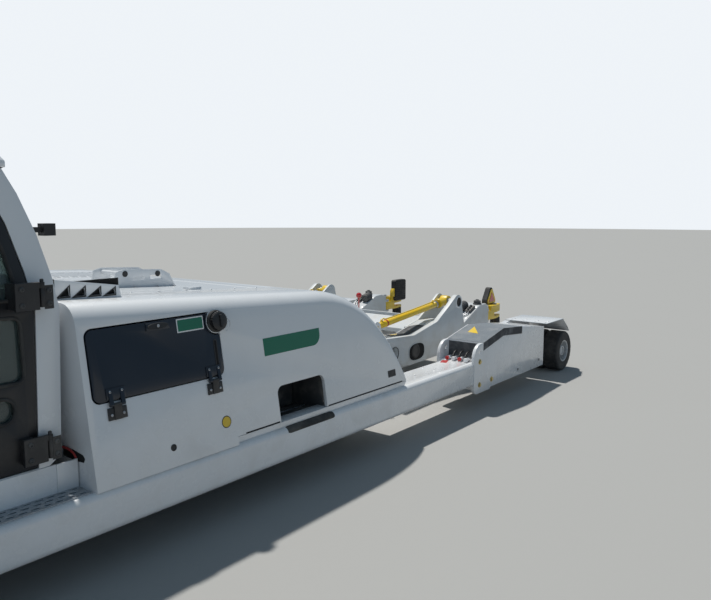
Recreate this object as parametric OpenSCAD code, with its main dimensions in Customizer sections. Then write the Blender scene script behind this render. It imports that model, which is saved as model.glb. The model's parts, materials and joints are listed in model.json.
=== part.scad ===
// Towbarless aircraft pushback tractor: low white body with a driver's cab at the left front,
// two long rear arms on small twin wheels, and between them a tilting cradle that picks up
// an aircraft's nose gear. +X is forward, +Y is the driver's side, +Z is up, and the origin is
// on the ground under the middle of the tractor.

/* [Overall] */
// Length from the bumper to the back of the rear tyres
tractor_l = 8600; // [8500:10:9000]
// Width over the bolted plates of the rear arms
tractor_w = 3430; // [3400:10:3600]

/* [Side beams] */
// Width of each side beam
beam_w = 300; // [260:5:320]
// Height of the side beams
beam_h = 223; // [200:1:240]
// Ground clearance under the side beams
beam_z = 232; // [220:1:260]
// Radius of the outer edges of the side beams
beam_edge_r = 38; // [20:1:50]
// Rear end of the side beams
beam_rear_x = -1880; // [-1950:5:-1800]
// Front end of the side beams and of the belly pan
beam_front_x = 3010; // [2990:5:3020]
// Step in from the arm's plates to the face of the side beams
beam_inset = 5; // [3:1:10]
// Thickness of the belly pan
belly_t = 30; // [20:1:40]

/* [Body shell] */
// Thickness of the body panels
panel_t = 25; // [15:1:35]
// Inward lean of the body sides per unit of height
side_lean = 0.161; // [0.12:0.005:0.2]
// Rounding of the crown between the sides and the deck
crown_r = 120; // [60:5:160]
// Height of the deck where its tail begins to fall
deck_tail_z = 1290; // [1250:5:1320]
// Place where the tail of the deck begins to fall
deck_tail_x = 190; // [100:10:300]
// Rear end of the body
body_rear_x = -800; // [-840:5:-760]
// Front end of the left fairing, at the gap behind the cab
fairing_front_x = 1956; // [1940:2:1965]
// Height of the deck at the gap behind the cab
deck_front_z = 1388; // [1360:2:1400]
// Half width of the flat middle of the deck
deck_half_w = 1100; // [1080:5:1140]
// Underside of the raised rear part of the fairings
seam_z = 505; // [495:5:515]
// Gap between the raised part of the fairings and the sill below it
seam_gap = 5; // [5:1:10]
// Front end of the raised part of the fairings
seam_front_x = 1010; // [950:10:1060]

/* [Foot hole] */
// Rear end of the foot hole in each fairing
foot_hole_x = 180; // [100:10:260]
// Length of the foot hole
foot_hole_l = 460; // [400:10:500]
// Top of the foot hole
foot_hole_z = 730; // [680:10:760]
// Rounding of the top corners of the foot hole
foot_hole_r = 50; // [20:5:80]

/* [Access panel] */
// Rear edge of the access panel
panel_x = 1050; // [1030:5:1080]
// Length of the access panel
panel_l = 870; // [800:5:880]
// Bottom of the access panel
panel_z = 880; // [860:5:900]
// Height of the access panel
panel_h = 380; // [320:5:390]
// Corner radius of the access panel
panel_r = 45; // [20:5:60]
// Gap around the doors and lids
door_gap = 8; // [6:1:12]

/* [Hood lid] */
// Rear edge of the hood lid
lid_x = 280; // [260:10:320]
// Length of the hood lid
lid_l = 1180; // [1100:10:1190]
// Hinged edge of the hood lid
lid_y = -150; // [-250:10:-50]
// Latched edge of the hood lid
lid_side_y = 1030; // [1000:5:1050]

/* [Front body] */
// Front face of the nose body
nose_front_x = 4180; // [4160:5:4190]
// Underside of the nose body
nose_z = 560; // [550:5:580]
// Height of the nose where it meets the body
nose_rear_top_z = 1130; // [1100:5:1150]
// Height of the nose just behind its front edge
nose_front_top_z = 1050; // [1020:5:1060]
// Rounding of the nose corners in plan
nose_corner_r = 180; // [120:10:220]
// Thickness of the bumper
bumper_t = 120; // [100:5:120]
// Bottom of the bumper
bumper_z = 300; // [280:5:320]
// Radius of the hole in the towing jaw
tow_pin_r = 20.5; // [18:0.5:24]

/* [Cab] */
// Underside of the cab
cab_z = 605; // [600:1:612]
// Top of the cab walls, under the roof
cab_top_z = 2050; // [1980:10:2100]
// Thickness of the cab walls and of the door
cab_wall_t = 40; // [30:1:50]
// Distance from the middle of the tractor to the inner side of the cab
cab_inner_y = 230; // [200:5:260]
// Thickness of the roof
roof_t = 90; // [60:5:120]
// Overhang of the roof all round
roof_lip = 30; // [10:5:60]
// Thickness of the window glass
glass_t = 6; // [4:1:8]
// Front edge of the door
door_front_x = 2985; // [2960:5:2990]
// Distance of the door's hinge pins from the middle
door_pin_y = 1562; // [1555:1:1570]
// Place of the door's hinge pins along the tractor
door_pin_x = 2110; // [2105:1:2115]

/* [Front wheels] */
// Outer radius of the front tyres
front_r = 355; // [345:5:360]
// Width of the front tyres
front_w = 300; // [280:5:305]
// Rim radius of the front wheels
front_rim_r = 190; // [170:5:210]
// Place of the front axle
front_x = 3560; // [3550:5:3570]
// Distance from the middle to the kingpins
kingpin_y = 1290; // [1280:2:1295]
// Radius of the kingpins
kingpin_r = 35; // [28:1:40]
// Distance from the kingpin to the middle of the front wheel
king_offset = 260; // [258:1:265]

/* [Rear wheels] */
// Outer radius of the rear tyres
rear_r = 228.5; // [220:0.5:235]
// Width of each rear tyre
rear_w = 178; // [160:2:180]
// Gap between the twin rear tyres
twin_gap = 32; // [20:2:40]
// Rim radius of the rear wheels
rear_rim_r = 125; // [110:1:130]
// Radius of the rear stub axles
stub_r = 50; // [40:1:60]

/* [Rear arms] */
// Underside of the rear arms
arm_z = 155; // [150:1:180]
// Thickness of the bolted plates at the front of the arms
arm_plate_t = 30; // [20:1:32]
// Width of the rear arms
arm_w = 400; // [380:5:420]
// Distance from the rear axle forward to the back of the arm boxes
arm_rear_x = 631.5; // [600:0.5:660]
// Thickness of the plates that carry the rear wheels
carrier_t = 60; // [40:2:60]
// Top of the rear fenders
fender_z = 620; // [600:2:640]
// Thickness of the fender plate
fender_t = 8; // [5:1:12]

/* [Cradle] */
// Place of the cradle's pivot along the tractor
pivot_x = -1980; // [-1990:2:-1970]
// Height of the cradle's pivot
pivot_z = 470; // [465:1:475]
// Radius of the pivot shaft
pivot_r = 80; // [70:1:90]
// Distance from the middle to the outer faces of the cheek plates
cheek_y = 1010; // [1000:5:1030]
// Thickness of the cheek plates
cheek_t = 50; // [40:2:60]
// Place of the rod pins along the tractor
lug_x = -2820; // [-2830:2:-2810]
// Height of the rod pins
lug_z = 872; // [866:1:878]
// Radius of the rod pins
lug_pin_r = 30; // [24:1:34]
// Place of the cylinders' base pins along the tractor
base_x = -1500; // [-1510:2:-1490]
// Height of the cylinders' base pins
base_z = 745; // [740:1:750]
// Distance from the middle to the cylinders
cyl_y = 840; // [834:1:846]
// Outer radius of the cylinder barrels
barrel_r = 32; // [28:1:36]
// Radius of the cylinder rods
rod_r = 20; // [16:1:22]
// Thickness of the nose gear platform
scoop_t = 30; // [20:1:30]
// Half width of the nose gear platform
scoop_half_w = 600; // [560:5:610]
// Length of the platform's flat floor
scoop_l = 730; // [690:10:770]

/* [Gates] */
// Distance from the rear end forward to the gates' pivots
gate_x = 400; // [390:5:420]
// Distance from the middle to the gates' pivots
gate_y = 745; // [740:1:755]
// Reach of the gates behind their pivots
gate_l = 380; // [340:5:390]
// Radius of the gates' pivot pins
gate_pin_r = 30; // [24:1:36]

/* [Hidden] */

LEFT = 1;
RIGHT = -1;
SIDES = [LEFT, RIGHT];
fit = 0.3;       // gap between pieces that seat on each other
run = 0.05;      // running clearance of a pin in its bore
sweep = 5;       // clearance between moving pieces
over = 1;        // how far a cut passes its surface
$fn = 48;

beam_y = tractor_w / 2 - beam_inset;
beam_in_y = beam_y - beam_w;
beam_top_z = beam_z + beam_h;
belly_top_z = beam_z + belly_t;
rear_end_x = -tractor_l / 2;
rear_x = rear_end_x + rear_r;             // axis of the rear wheels
arm_end_x = rear_x + arm_rear_x;
gate_pin_x = rear_end_x + gate_x;
front_end_x = nose_front_x + bumper_t;    // face of the bumper, from the body's datum
body_x = tractor_l / 2 - front_end_x;     // the body's datum: a longer tractor has a longer rear deck
module on_body() { translate([body_x, 0, 0]) children(); }

// Points of an arc about [cx, cy] from angle a0 to a1
function arc(cx, cy, r, a0, a1, n = 6) =
  [for (i = [0:n]) [cx + r * cos(a0 + (a1 - a0) * i / n), cy + r * sin(a0 + (a1 - a0) * i / n)]];

// Height of the body's deck at x: a straight fall to the rear, then a curved tail
deck_slope = (deck_front_z - deck_tail_z) / (fairing_front_x - deck_tail_x);
tail_l = deck_tail_x - body_rear_x;
function tail_z(t) = beam_top_z + 12 + (deck_tail_z - beam_top_z - 12) * pow(1 - pow(t, 2.2), 0.627);
function deck_z(x) = x >= deck_tail_x
  ? min(deck_front_z, deck_tail_z + (x - deck_tail_x) * deck_slope)
  : tail_z(min(1, (deck_tail_x - x) / tail_l));
// The right side runs on past the cab and falls to the nose
fall_x = 2620;
function right_deck_z(x) = x <= fall_x ? deck_z(x)
  : deck_front_z - (deck_front_z - nose_rear_top_z) * pow((x - fall_x) / (beam_front_x - fall_x), 1.3);
TAIL_STEPS = 14;
tail_xs = [for (i = [TAIL_STEPS:-1:1]) deck_tail_x - tail_l * sin(90 * i / TAIL_STEPS)];

// Outer face of the body side at height z
function side_y(z) = beam_y - 8 - (z - beam_top_z) * side_lean;
lean_a = atan(side_lean);

// One section of a fairing at x, as [x, y, z] points: up the leaning side, round the crown
// and in along the deck
function fairing_ring(x, top, bottom, inset, in_y, n = 8) =
  let (h = top - inset,
       r = max(2, min(crown_r - inset, 0.45 * (h - bottom))),
       zc = h - r,
       zp = zc + r * sin(lean_a),
       yc = side_y(zp) - inset - r * cos(lean_a))
  concat([[x, in_y, bottom], [x, side_y(bottom) - inset, bottom]],
    [for (p = arc(yc, zc, r, lean_a, 90, n)) [x, p[0], p[1]]],
    [[x, in_y, h]]);

// Solid through like rings of points, the first ring at the rear
module loft(rings) {
  n = len(rings[0]);
  points = [for (ring = rings) each ring];
  faces = concat([[for (j = [0:n - 1]) j]],
    [for (i = [0:len(rings) - 2], j = [0:n - 1])
      let (a = i * n + j, b = i * n + (j + 1) % n) [a, a + n, b]],
    [for (i = [0:len(rings) - 2], j = [0:n - 1])
      let (a = i * n + j, b = i * n + (j + 1) % n) [b, a + n, b + n]],
    [[for (j = [n - 1:-1:0]) (len(rings) - 1) * n + j]]);
  polyhedron(points, faces);
}

// Outline in x and z, drawn from y0 to y1
module slab_y(y0, y1) {
  translate([0, y1, 0]) rotate([90, 0, 0]) linear_extrude(y1 - y0) children();
}
// Outline in y and z, drawn from x0 to x1
module slab_x(x0, x1) {
  translate([x0, 0, 0]) rotate([90, 0, 90]) linear_extrude(x1 - x0) children();
}
// Box between two corners
module block(a, b) { translate(a) cube(b - a); }
// Rod along y between y0 and y1
module rod_y(x, z, r, y0, y1) { translate([x, y0, z]) rotate([-90, 0, 0]) cylinder(r = r, h = y1 - y0); }
// Square with its four corners rounded
module soft_square(size, r) {
  translate([r, 0]) square([size[0] - 2 * r, size[1]]);
  translate([0, r]) square([size[0], size[1] - 2 * r]);
  for (x = [r, size[0] - r], y = [r, size[1] - r]) translate([x, y]) circle(r);
}
// Child on the left, or mirrored to the right
module on_side(side) { if (side == LEFT) children(); else mirror([0, 1, 0]) children(); }
module both_sides() { for (side = SIDES) on_side(side) children(); }

// Chassis: side beams, belly pan, front rails, rear sub-frame and the cradle's pivot shaft
bulkhead_t = 60;
rail_in_y = 330;
rail_out_y = 430;
rail_z = 430;
rail_h = 130;
tongue_in_y = tractor_w / 2 - arm_w + arm_plate_t + fit;
tongue_out_y = tractor_w / 2 - arm_plate_t - fit;
tongue_end_x = beam_rear_x - 170;
sub_in_y = 700;
sub_out_y = cyl_y + 60;
sub_z = 300;
sub_top_z = 545;
ear_gap = 26;       // half the width between a clevis's ears
ear_t = 24;
sill_t = 100;

module beam_section() {
  translate([beam_in_y, beam_z]) {
    square([beam_w - beam_edge_r, beam_h]);
    translate([0, beam_edge_r]) square([beam_w, beam_h - 2 * beam_edge_r]);
    for (z = [beam_edge_r, beam_h - beam_edge_r]) translate([beam_w - beam_edge_r, z]) circle(beam_edge_r);
  }
}

module chassis_frame() {
  color("white") {
    both_sides() {
      slab_x(beam_rear_x, body_x + beam_front_x) beam_section();
      block([tongue_end_x, tongue_in_y, beam_z], [beam_rear_x + over, tongue_out_y, beam_top_z]);
      // sill under the raised part of the fairing
      on_body() slab_x(body_rear_x, seam_front_x - fit)
        polygon([[beam_y - 20 - sill_t, beam_top_z - over], [beam_y - beam_edge_r, beam_top_z - over],
          [side_y(seam_z) - 4, seam_z - seam_gap], [beam_y - 20 - sill_t, seam_z - seam_gap]]);
      // front rail over the axle
      on_body() block([beam_front_x - 60, rail_in_y, rail_z], [nose_front_x - fit, rail_out_y, rail_z + rail_h - fit]);
      // rear sub-frame rail and the clevis of the lift cylinder
      difference() {
        union() {
          block([pivot_x - 140, sub_in_y, sub_z], [body_x + body_rear_x - bulkhead_t, sub_out_y, sub_top_z]);
          slab_y(cyl_y - ear_gap - ear_t, cyl_y + ear_gap + ear_t)
            polygon(concat([[base_x + 190, sub_top_z - over], [base_x + 60, base_z]],
              arc(base_x, base_z, 62, 15, 165, 8), [[base_x - 90, sub_top_z - over]]));
        }
        slab_y(cyl_y - ear_gap, cyl_y + ear_gap)
          translate([base_x - 130, sub_top_z + 60]) square([360, 300]);
        rod_y(base_x, base_z, 25 + run, cyl_y - 90, cyl_y + 90);
      }
      rod_y(pivot_x, pivot_z, pivot_r - run, 0, cheek_y);
    }
    on_body() {
      // cab mounts and the plate under the door
      for (x = [2180, 2900], y = [330, 1420]) translate([x, y, belly_top_z - over])
        cylinder(r = 45, h = cab_z - fit - belly_top_z + over);
      block([2075, beam_y - 182, beam_top_z - over], [door_front_x, beam_y - 170, cab_z - fit]);
      // belly pan and bulkheads
      block([body_rear_x - bulkhead_t, -beam_in_y - over, beam_z], [beam_front_x, beam_in_y + over, belly_top_z]);
      block([body_rear_x - bulkhead_t, -beam_in_y - over, beam_z], [body_rear_x, beam_in_y + over, beam_top_z]);
      block([beam_front_x - 60, -beam_in_y - over, beam_z], [beam_front_x, beam_in_y + over, beam_top_z]);
      block([beam_front_x - 60, fit - deck_half_w, beam_top_z - over], [beam_front_x, beam_in_y + over, nose_z - fit]);
    }
  }
}

// Rear arm: bolted plates, box with an anti-slip top and the carrier of the rear wheels
arm_y = tractor_w / 2 - arm_w;
carrier_y = arm_y - 100;
recess_x = tongue_end_x;
// Top edge of the arm box
ARM_TOP = [[recess_x, 620], [recess_x - 410, 705], [arm_end_x + 560, 670], [arm_end_x, 600]];
carrier_x = arm_end_x + 440;
fender_x = rear_x + 551.5;
fender_bend_x = rear_x + 89.5;
FENDER = [[fender_x, fender_z], [fender_bend_x, fender_z], [fender_bend_x - 146, fender_z - 115],
  [fender_bend_x - 194, fender_z - 164]];

module arm_outline() {
  polygon(concat(arc(beam_rear_x - 130, 492, 130, 0, 90, 6), ARM_TOP,
    [[arm_end_x, arm_z + 20], [recess_x - 160, arm_z + 20], [recess_x - 140, arm_z]],
    arc(beam_rear_x - 60, arm_z + 60, 60, 270, 360, 4)));
}

module carrier_outline() {
  polygon(concat([[carrier_x, fender_z - 60], [fender_x - 40, fender_z - fender_t],
      [fender_bend_x + 14, fender_z - fender_t], [fender_bend_x - 164, fender_z - 220]],
    arc(rear_x, rear_r, 110, 150, 270, 6), [[fender_x + 20, arm_z + 20], [carrier_x, arm_z + 20]]));
}

module arm_box(side) {
  color("white") on_side(side) {
    difference() {
      slab_y(arm_y, tractor_w / 2) arm_outline();
      block([recess_x, arm_y + arm_plate_t, arm_z - over], [beam_rear_x + over, tractor_w / 2 - arm_plate_t, 700]);
      // tie-down eye near the top of the plates
      rod_y(beam_rear_x - 120, 545, 22, arm_y - over, tractor_w / 2 + over);
    }
    slab_y(carrier_y, carrier_y + carrier_t) carrier_outline();
    block([arm_end_x, carrier_y, arm_z + 20], [carrier_x, arm_y + over, fender_z - 60]);
  }
}

// Unit vector to the left of the way from a to b
function left_of(a, b) = let (d = (b - a) / norm(b - a)) [-d[1], d[0]];
// Point of a bent plate's other face, t below the bend i of its path
function under(path, i, t) =
  let (n = len(path) - 1,
       n0 = left_of(path[max(0, i - 1)], path[max(1, i)]),
       n1 = left_of(path[min(n - 1, i)], path[min(n, i + 1)]))
  path[i] + (n0 + n1) * t / (1 + n0 * n1);

// Rear fenders: a flat plate over the twin wheels, bent down behind them
module fenders() {
  color("white") both_sides() slab_y(carrier_y, tractor_w / 2)
    polygon(concat(FENDER, [for (i = [3:-1:0]) under(FENDER, i, fender_t)]));
}

// Rear wheels: stub axles, twin tyres and rims
twin_out_y = tractor_w / 2 - 15;
twin_in_y = twin_out_y - 2 * rear_w - twin_gap;
module rear_axles() {
  color("dimgray") both_sides() {
    rod_y(rear_x, rear_r, stub_r, carrier_y + carrier_t, twin_out_y - 60);
    rod_y(rear_x, rear_r, 88, carrier_y + carrier_t, twin_in_y - 14);
  }
}

// Tyre section: a band with rounded shoulders and shallow grooves
module tyre(r_out, r_in, w, groove) {
  shoulder = 0.12 * w;
  rotate_extrude($fn = 96) difference() {
    polygon(concat([[r_in, 0], [r_out - 2 * shoulder, 0]],
      arc(r_out - shoulder, shoulder, shoulder, -60, 0, 4), arc(r_out - shoulder, w - shoulder, shoulder, 0, 60, 4),
      [[r_out - 2 * shoulder, w], [r_in, w]]));
    for (y = [0.3, 0.7]) translate([r_out - groove, y * w - 5]) square([groove + over, 10]);
  }
}

module rear_tyres(side) {
  color([0.08, 0.08, 0.08]) on_side(side)
    for (y = [twin_out_y, twin_out_y - rear_w - twin_gap])
      translate([rear_x, y, rear_r]) rotate([90, 0, 0]) tyre(rear_r, rear_rim_r, rear_w, 8);
}

module rear_rim(side) {
  rim_out = rear_rim_r - fit;
  color("gainsboro") on_side(side) translate([rear_x, twin_out_y, rear_r]) rotate([90, 0, 0])
    rotate_extrude($fn = 96) polygon([[stub_r + run, 40], [70, 40], [74, 62], [rim_out - 16, 62], [rim_out - 14, 4],
      [rim_out, 0], [rim_out, 2 * rear_w + twin_gap], [rim_out - 12, 2 * rear_w + twin_gap],
      [rim_out - 14, 92], [80, 92], [74, 2 * rear_w], [stub_r + run, 2 * rear_w]]);
}

// Front axle: a beam under the rails with a boss for each kingpin
boss_z = 290;
boss_top_z = 420;
axle_z = 285;
module front_axle() {
  color("dimgray") difference() {
    union() {
      block([front_x - 70, -(kingpin_y - 60), axle_z + 10], [front_x + 70, kingpin_y - 60, boss_top_z]);
      both_sides() {
        block([front_x - 90, rail_in_y - 20, boss_top_z - over], [front_x + 90, rail_out_y + 20, rail_z]);
        translate([front_x, kingpin_y, boss_z]) cylinder(r = 74, h = boss_top_z - boss_z);
      }
      translate([front_x - 20, 0, 355]) sphere(r = 150);
    }
    both_sides() translate([front_x, kingpin_y, boss_z - over])
      cylinder(r = kingpin_r + run, h = boss_top_z - boss_z + 2 * over);
  }
}

// Steering knuckle: two lugs on a kingpin, a face plate with the spindle, and the steering arm
lug_t = 32;
plate_y = kingpin_y + 78;
wheel_in_y = kingpin_y + king_offset - front_w / 2;
arm_reach = 230;
module knuckle(side) {
  color("dimgray") on_side(side) {
    for (z = [boss_z - sweep - lug_t, boss_top_z + sweep]) {
      translate([front_x, kingpin_y, z]) cylinder(r = 66, h = lug_t);
      block([front_x - 60, kingpin_y, z], [front_x + 60, plate_y + 10, z + lug_t]);
    }
    translate([front_x, kingpin_y, boss_z - sweep - lug_t])
      cylinder(r = kingpin_r, h = boss_top_z - boss_z + 2 * (sweep + lug_t));
    block([front_x - 70, plate_y, boss_z - sweep - lug_t], [front_x + 70, wheel_in_y - 8, boss_top_z + sweep + lug_t]);
    rod_y(front_x, front_r, 50, plate_y, wheel_in_y + front_w - 60);
    hull() {
      translate([front_x - 40, kingpin_y, boss_z - sweep - lug_t]) cylinder(r = 60, h = lug_t);
      translate([front_x - arm_reach, kingpin_y - 30, boss_z - sweep - lug_t]) cylinder(r = 34, h = lug_t);
    }
  }
}

module tie_rod() {
  z = boss_z - sweep + fit;
  color("silver") {
    both_sides() translate([front_x - arm_reach, kingpin_y - 30, z]) cylinder(r = 34, h = 40);
    rod_y(front_x - arm_reach, z + 20, 17, -(kingpin_y - 30), kingpin_y - 30);
  }
}

module front_tyre(side) {
  color([0.08, 0.08, 0.08]) on_side(side) translate([front_x, wheel_in_y + front_w, front_r]) rotate([90, 0, 0])
    tyre(front_r, front_rim_r, front_w, 14);
}

module front_rim(side) {
  rim_out = front_rim_r - fit;
  color("gainsboro") on_side(side) translate([front_x, wheel_in_y + front_w, front_r]) rotate([90, 0, 0])
    difference() {
      rotate_extrude($fn = 96) polygon([[50 + run, 50], [86, 50], [92, 78], [rim_out - 30, 96], [rim_out - 18, 10],
        [rim_out, 4], [rim_out, front_w - 4], [rim_out - 14, front_w - 4], [rim_out - 18, 130],
        [96, 122], [88, 200], [50 + run, 200]]);
      for (a = [0:45:315]) rotate([0, 0, a]) translate([128, 0, 60]) cylinder(r = 14, h = 80);
    }
}

// Body shell: leaning fairings, decks and the nose
left_xs = concat(tail_xs, [deck_tail_x, seam_front_x, fairing_front_x]);
right_xs = concat(tail_xs, [deck_tail_x, seam_front_x, fairing_front_x, fall_x],
  [for (i = [1:4]) fall_x + (beam_front_x - fall_x) * i / 4]);

// Foot hole with rounded top corners
module foot_hole_outline() {
  h = foot_hole_z - seam_z;
  translate([foot_hole_x, seam_z - over]) {
    square([foot_hole_l, h - foot_hole_r + over]);
    translate([foot_hole_r, 0]) square([foot_hole_l - 2 * foot_hole_r, h + over]);
    for (x = [foot_hole_r, foot_hole_l - foot_hole_r]) translate([x, h + over - foot_hole_r]) circle(foot_hole_r);
  }
}

// Outline of the access panel, less the corner where the filler cap sits
cap_x = panel_x + 20;
cap_z = panel_z + panel_h - 60;
cap_seat_r = 70;
module panel_outline(gap) {
  difference() {
    translate([panel_x + gap, panel_z + gap])
      soft_square([panel_l - 2 * gap, panel_h - 2 * gap], panel_r - gap);
    translate([cap_x, cap_z]) circle(cap_seat_r + gap);
  }
}

module fairing(side, xs) {
  in_xs = [for (x = xs) if (x > body_rear_x + panel_t) x];
  color("white") on_side(side) difference() {
    loft([for (x = xs) fairing_ring(x, right_deck_z(x), beam_top_z, 0, deck_half_w)]);
    loft([for (x = concat([body_rear_x + panel_t + 12], in_xs))
      fairing_ring(min(x, xs[len(xs) - 1] - panel_t), right_deck_z(x), beam_top_z - over, panel_t,
        deck_half_w - over)]);
    block([body_rear_x - over, deck_half_w - over, beam_top_z - over], [seam_front_x, tractor_w, seam_z]);
    slab_y(beam_in_y - 60, tractor_w) foot_hole_outline();
    if (side == LEFT) {
      slab_y(beam_in_y, tractor_w) panel_outline(0);
    }
  }
}

module deck_outline(xs, inset) {
  polygon(concat([[xs[0] + inset, beam_top_z - inset]], [for (x = xs) if (x > xs[0] + inset) [x, right_deck_z(x) - inset]],
    [[xs[len(xs) - 1], beam_top_z - inset]]));
}
module lid_cut(gap) {
  translate([lid_x - gap, lid_y - gap, 1000]) cube([lid_l + 2 * gap, lid_side_y - lid_y + 2 * gap, 600]);
}

// Middle of the body: the tail and deck over the power pack
module hood_deck() {
  half = deck_half_w - fit;
  color("white") difference() {
    slab_y(-half, half) deck_outline(left_xs, 0);
    intersection() {
      slab_y(-half - over, half + over) deck_outline(left_xs, panel_t);
      block([body_rear_x, -half - over, 0], [fairing_front_x - panel_t, half + over, 2000]);
    }
    block([body_rear_x - over, -half - over, beam_top_z - over], [beam_front_x, half + over, seam_z]);
    lid_cut(door_gap);
  }
}

// Right front of the body, beside the cab
hood_front_xs = [fairing_front_x + fit, fall_x, for (i = [1:4]) fall_x + (beam_front_x - fit - fall_x) * i / 4];
hood_front_y = cab_inner_y - 20;
module hood_front() {
  color("white") difference() {
    slab_y(-(deck_half_w - fit), hood_front_y)
      polygon(concat([[fairing_front_x + fit, nose_z]], [for (x = hood_front_xs) [x, right_deck_z(x)]],
        [[beam_front_x - fit, nose_z]]));
    slab_y(-deck_half_w, hood_front_y - panel_t)
      polygon(concat([[fairing_front_x, nose_z - over]],
        [for (x = hood_front_xs) [min(x, beam_front_x - panel_t), right_deck_z(x) - panel_t]],
        [[beam_front_x - panel_t, nose_z - over]]));
  }
}

// Hood lid: follows the slope of the deck, with a latch at its side
lid_drop = panel_t;
latch_x = lid_x + 420;
LID_HINGE_XS = [lid_x + 180, lid_x + lid_l - 180];
lid_pin_y = lid_y - door_gap / 2;
lid_pin_drop = 12;    // height of the hinge pins over the deck
lid_a = atan(deck_slope);
// Rod on the lid's sloping hinge line, l0 to l1 along it from x
module lid_pin(x, l0, l1) {
  translate([x, lid_pin_y, deck_z(x)]) rotate([0, -lid_a, 0]) translate([l0, 0, lid_pin_drop])
    rotate([0, 90, 0]) cylinder(r = 9, h = l1 - l0);
}
module lid_leaf(x, l0, l1, y0, y1) {
  translate([x, 0, deck_z(x)]) rotate([0, -lid_a, 0]) block([l0, y0, fit], [l1, y1, lid_pin_drop + 6]);
}
module hood_lid() {
  x1 = lid_x + lid_l;
  color("white") slab_y(lid_y, lid_side_y)
    polygon([[lid_x, deck_z(lid_x) - lid_drop], [lid_x, deck_z(lid_x)], [x1, deck_z(x1)], [x1, deck_z(x1) - lid_drop]]);
  color("black") {
    block([latch_x, lid_side_y - 90, deck_z(latch_x) - 2], [latch_x + 90, lid_side_y - 10, deck_z(latch_x) + 18]);
    for (x = LID_HINGE_XS, l = [-60, 30 + fit]) {
      lid_pin(x, l, l + 30 - fit);
      translate([0, 0, -over]) lid_leaf(x, l, l + 30 - fit, lid_pin_y, lid_y + 60);
    }
  }
}

// Guard on the lid: two folded plates joined by a tube
guard_h = 120;
guard_l = 500;
guard_x = lid_x + 360;
guard_y = lid_side_y - 630;
guard_w = 268;
module deck_guard() {
  x1 = guard_x + guard_l;
  color("white") {
    for (y = [guard_y, guard_y + guard_w - 8]) slab_y(y, y + 8) difference() {
      polygon([[guard_x, deck_z(guard_x) + fit], [x1, deck_z(x1) + fit], [x1 - 20, deck_z(x1) + guard_h - 20],
        [x1 - 80, deck_z(x1 - 80) + guard_h], [guard_x + 120, deck_z(guard_x + 120) + guard_h],
        [guard_x + 50, deck_z(guard_x + 50) + guard_h - 30]]);
      for (x = [120, 260]) translate([guard_x + x, deck_z(guard_x + 260) + 50]) square([90, 26]);
    }
    for (x = [guard_x + 150, x1 - 90]) rod_y(x, deck_z(x) + 90, 16, guard_y, guard_y + guard_w);
  }
}

// Nose: lofted full-width shell over the front wheels
NOSE_STATIONS = [[0, 0, 0], [0.5, 0.45, 0], [0.86, 1, 0], [0.93, 1.25, 0.16], [0.97, 1.7, 0.43],
  [0.99, 2.15, 0.65], [1, 2.6, 1]];
function nose_ring(station) =
  let (x = beam_front_x + (nose_front_x - beam_front_x) * station[0],
       top = nose_rear_top_z - (nose_rear_top_z - nose_front_top_z) * station[1],
       in = nose_corner_r * station[2],
       r = crown_r,
       zc = top - r,
       zp = zc + r * sin(lean_a),
       half = concat([[side_y(nose_z) - in, nose_z]],
         arc(side_y(zp) - in - r * cos(lean_a), zc, r, lean_a, 90, 6)))
  concat([for (p = half) [x, p[0], p[1]]], [for (i = [len(half) - 1:-1:0]) [x, -half[i][0], half[i][1]]]);

arch_in_y = 1188;
module arch_outline() {
  polygon([[front_x - 520, nose_z - over], [front_x - 520, 640], [front_x - 400, 740], [front_x - 230, 790],
    [front_x + 230, 790], [front_x + 400, 740], [front_x + 540, 640], [front_x + 540, nose_z - over]]);
}
well_out_y = 1150;
module nose_body() {
  color("white") difference() {
    loft([for (station = NOSE_STATIONS) nose_ring(station)]);
    both_sides() slab_y(arch_in_y, tractor_w) arch_outline();
    slab_y(-well_out_y, well_out_y) polygon([[beam_front_x - over, nose_z - over],
      [beam_front_x - over, nose_rear_top_z - panel_t], [4100, 1010], [4140, 900], [4140, nose_z - over]]);
    // lamp pockets
    both_sides() block([nose_front_x - 60, 900, 700], [nose_front_x + over, 1200, 820]);
  }
}

// Bumper: full width with rounded corners, a recess and a two-plate towing jaw
module bumper() {
  half = tractor_w / 2 - 15;
  color([0.12, 0.12, 0.12]) difference() {
    translate([0, 0, bumper_z]) linear_extrude(nose_z - fit - bumper_z)
      polygon(concat([[nose_front_x - 62, -half], [front_end_x - 110, -half]],
        arc(front_end_x - 110, -half + 110, 110, -90, 0, 6), arc(front_end_x - 110, half - 110, 110, 0, 90, 6),
        [[front_end_x - 110, half], [nose_front_x - 62, half], [nose_front_x, half - 120], [nose_front_x, 120 - half]]));
    block([nose_front_x + 30, -130, bumper_z - over], [front_end_x + over, 130, nose_z]);
  }
  color("dimgray") for (z = [jaw_z, jaw_z + jaw_gap + jaw_t]) difference() {
    block([nose_front_x + 30 - over, -100, z], [front_end_x - 10, 100, z + jaw_t]);
    translate([jaw_x, 0, z - over]) cylinder(r = tow_pin_r, h = jaw_t + 2 * over);
  }
}
jaw_x = nose_front_x + 70;
jaw_z = 370;
jaw_t = 25;
jaw_gap = 70;

// Lamps: two head lamps and a work lamp behind the cab
module lamps() {
  color("silver") both_sides() block([nose_front_x - 60 + fit, 905, 705], [nose_front_x - 2, 1195, 815]);
  color([0.1, 0.1, 0.1]) {
    block([1958, 1382, 1725], [2018, 1442, 1785]);
    slab_y(1402, 1422) polygon([[2017, 1742], [2059, 1742], [2068, 1768], [2017, 1768]]);
  }
}

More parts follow.
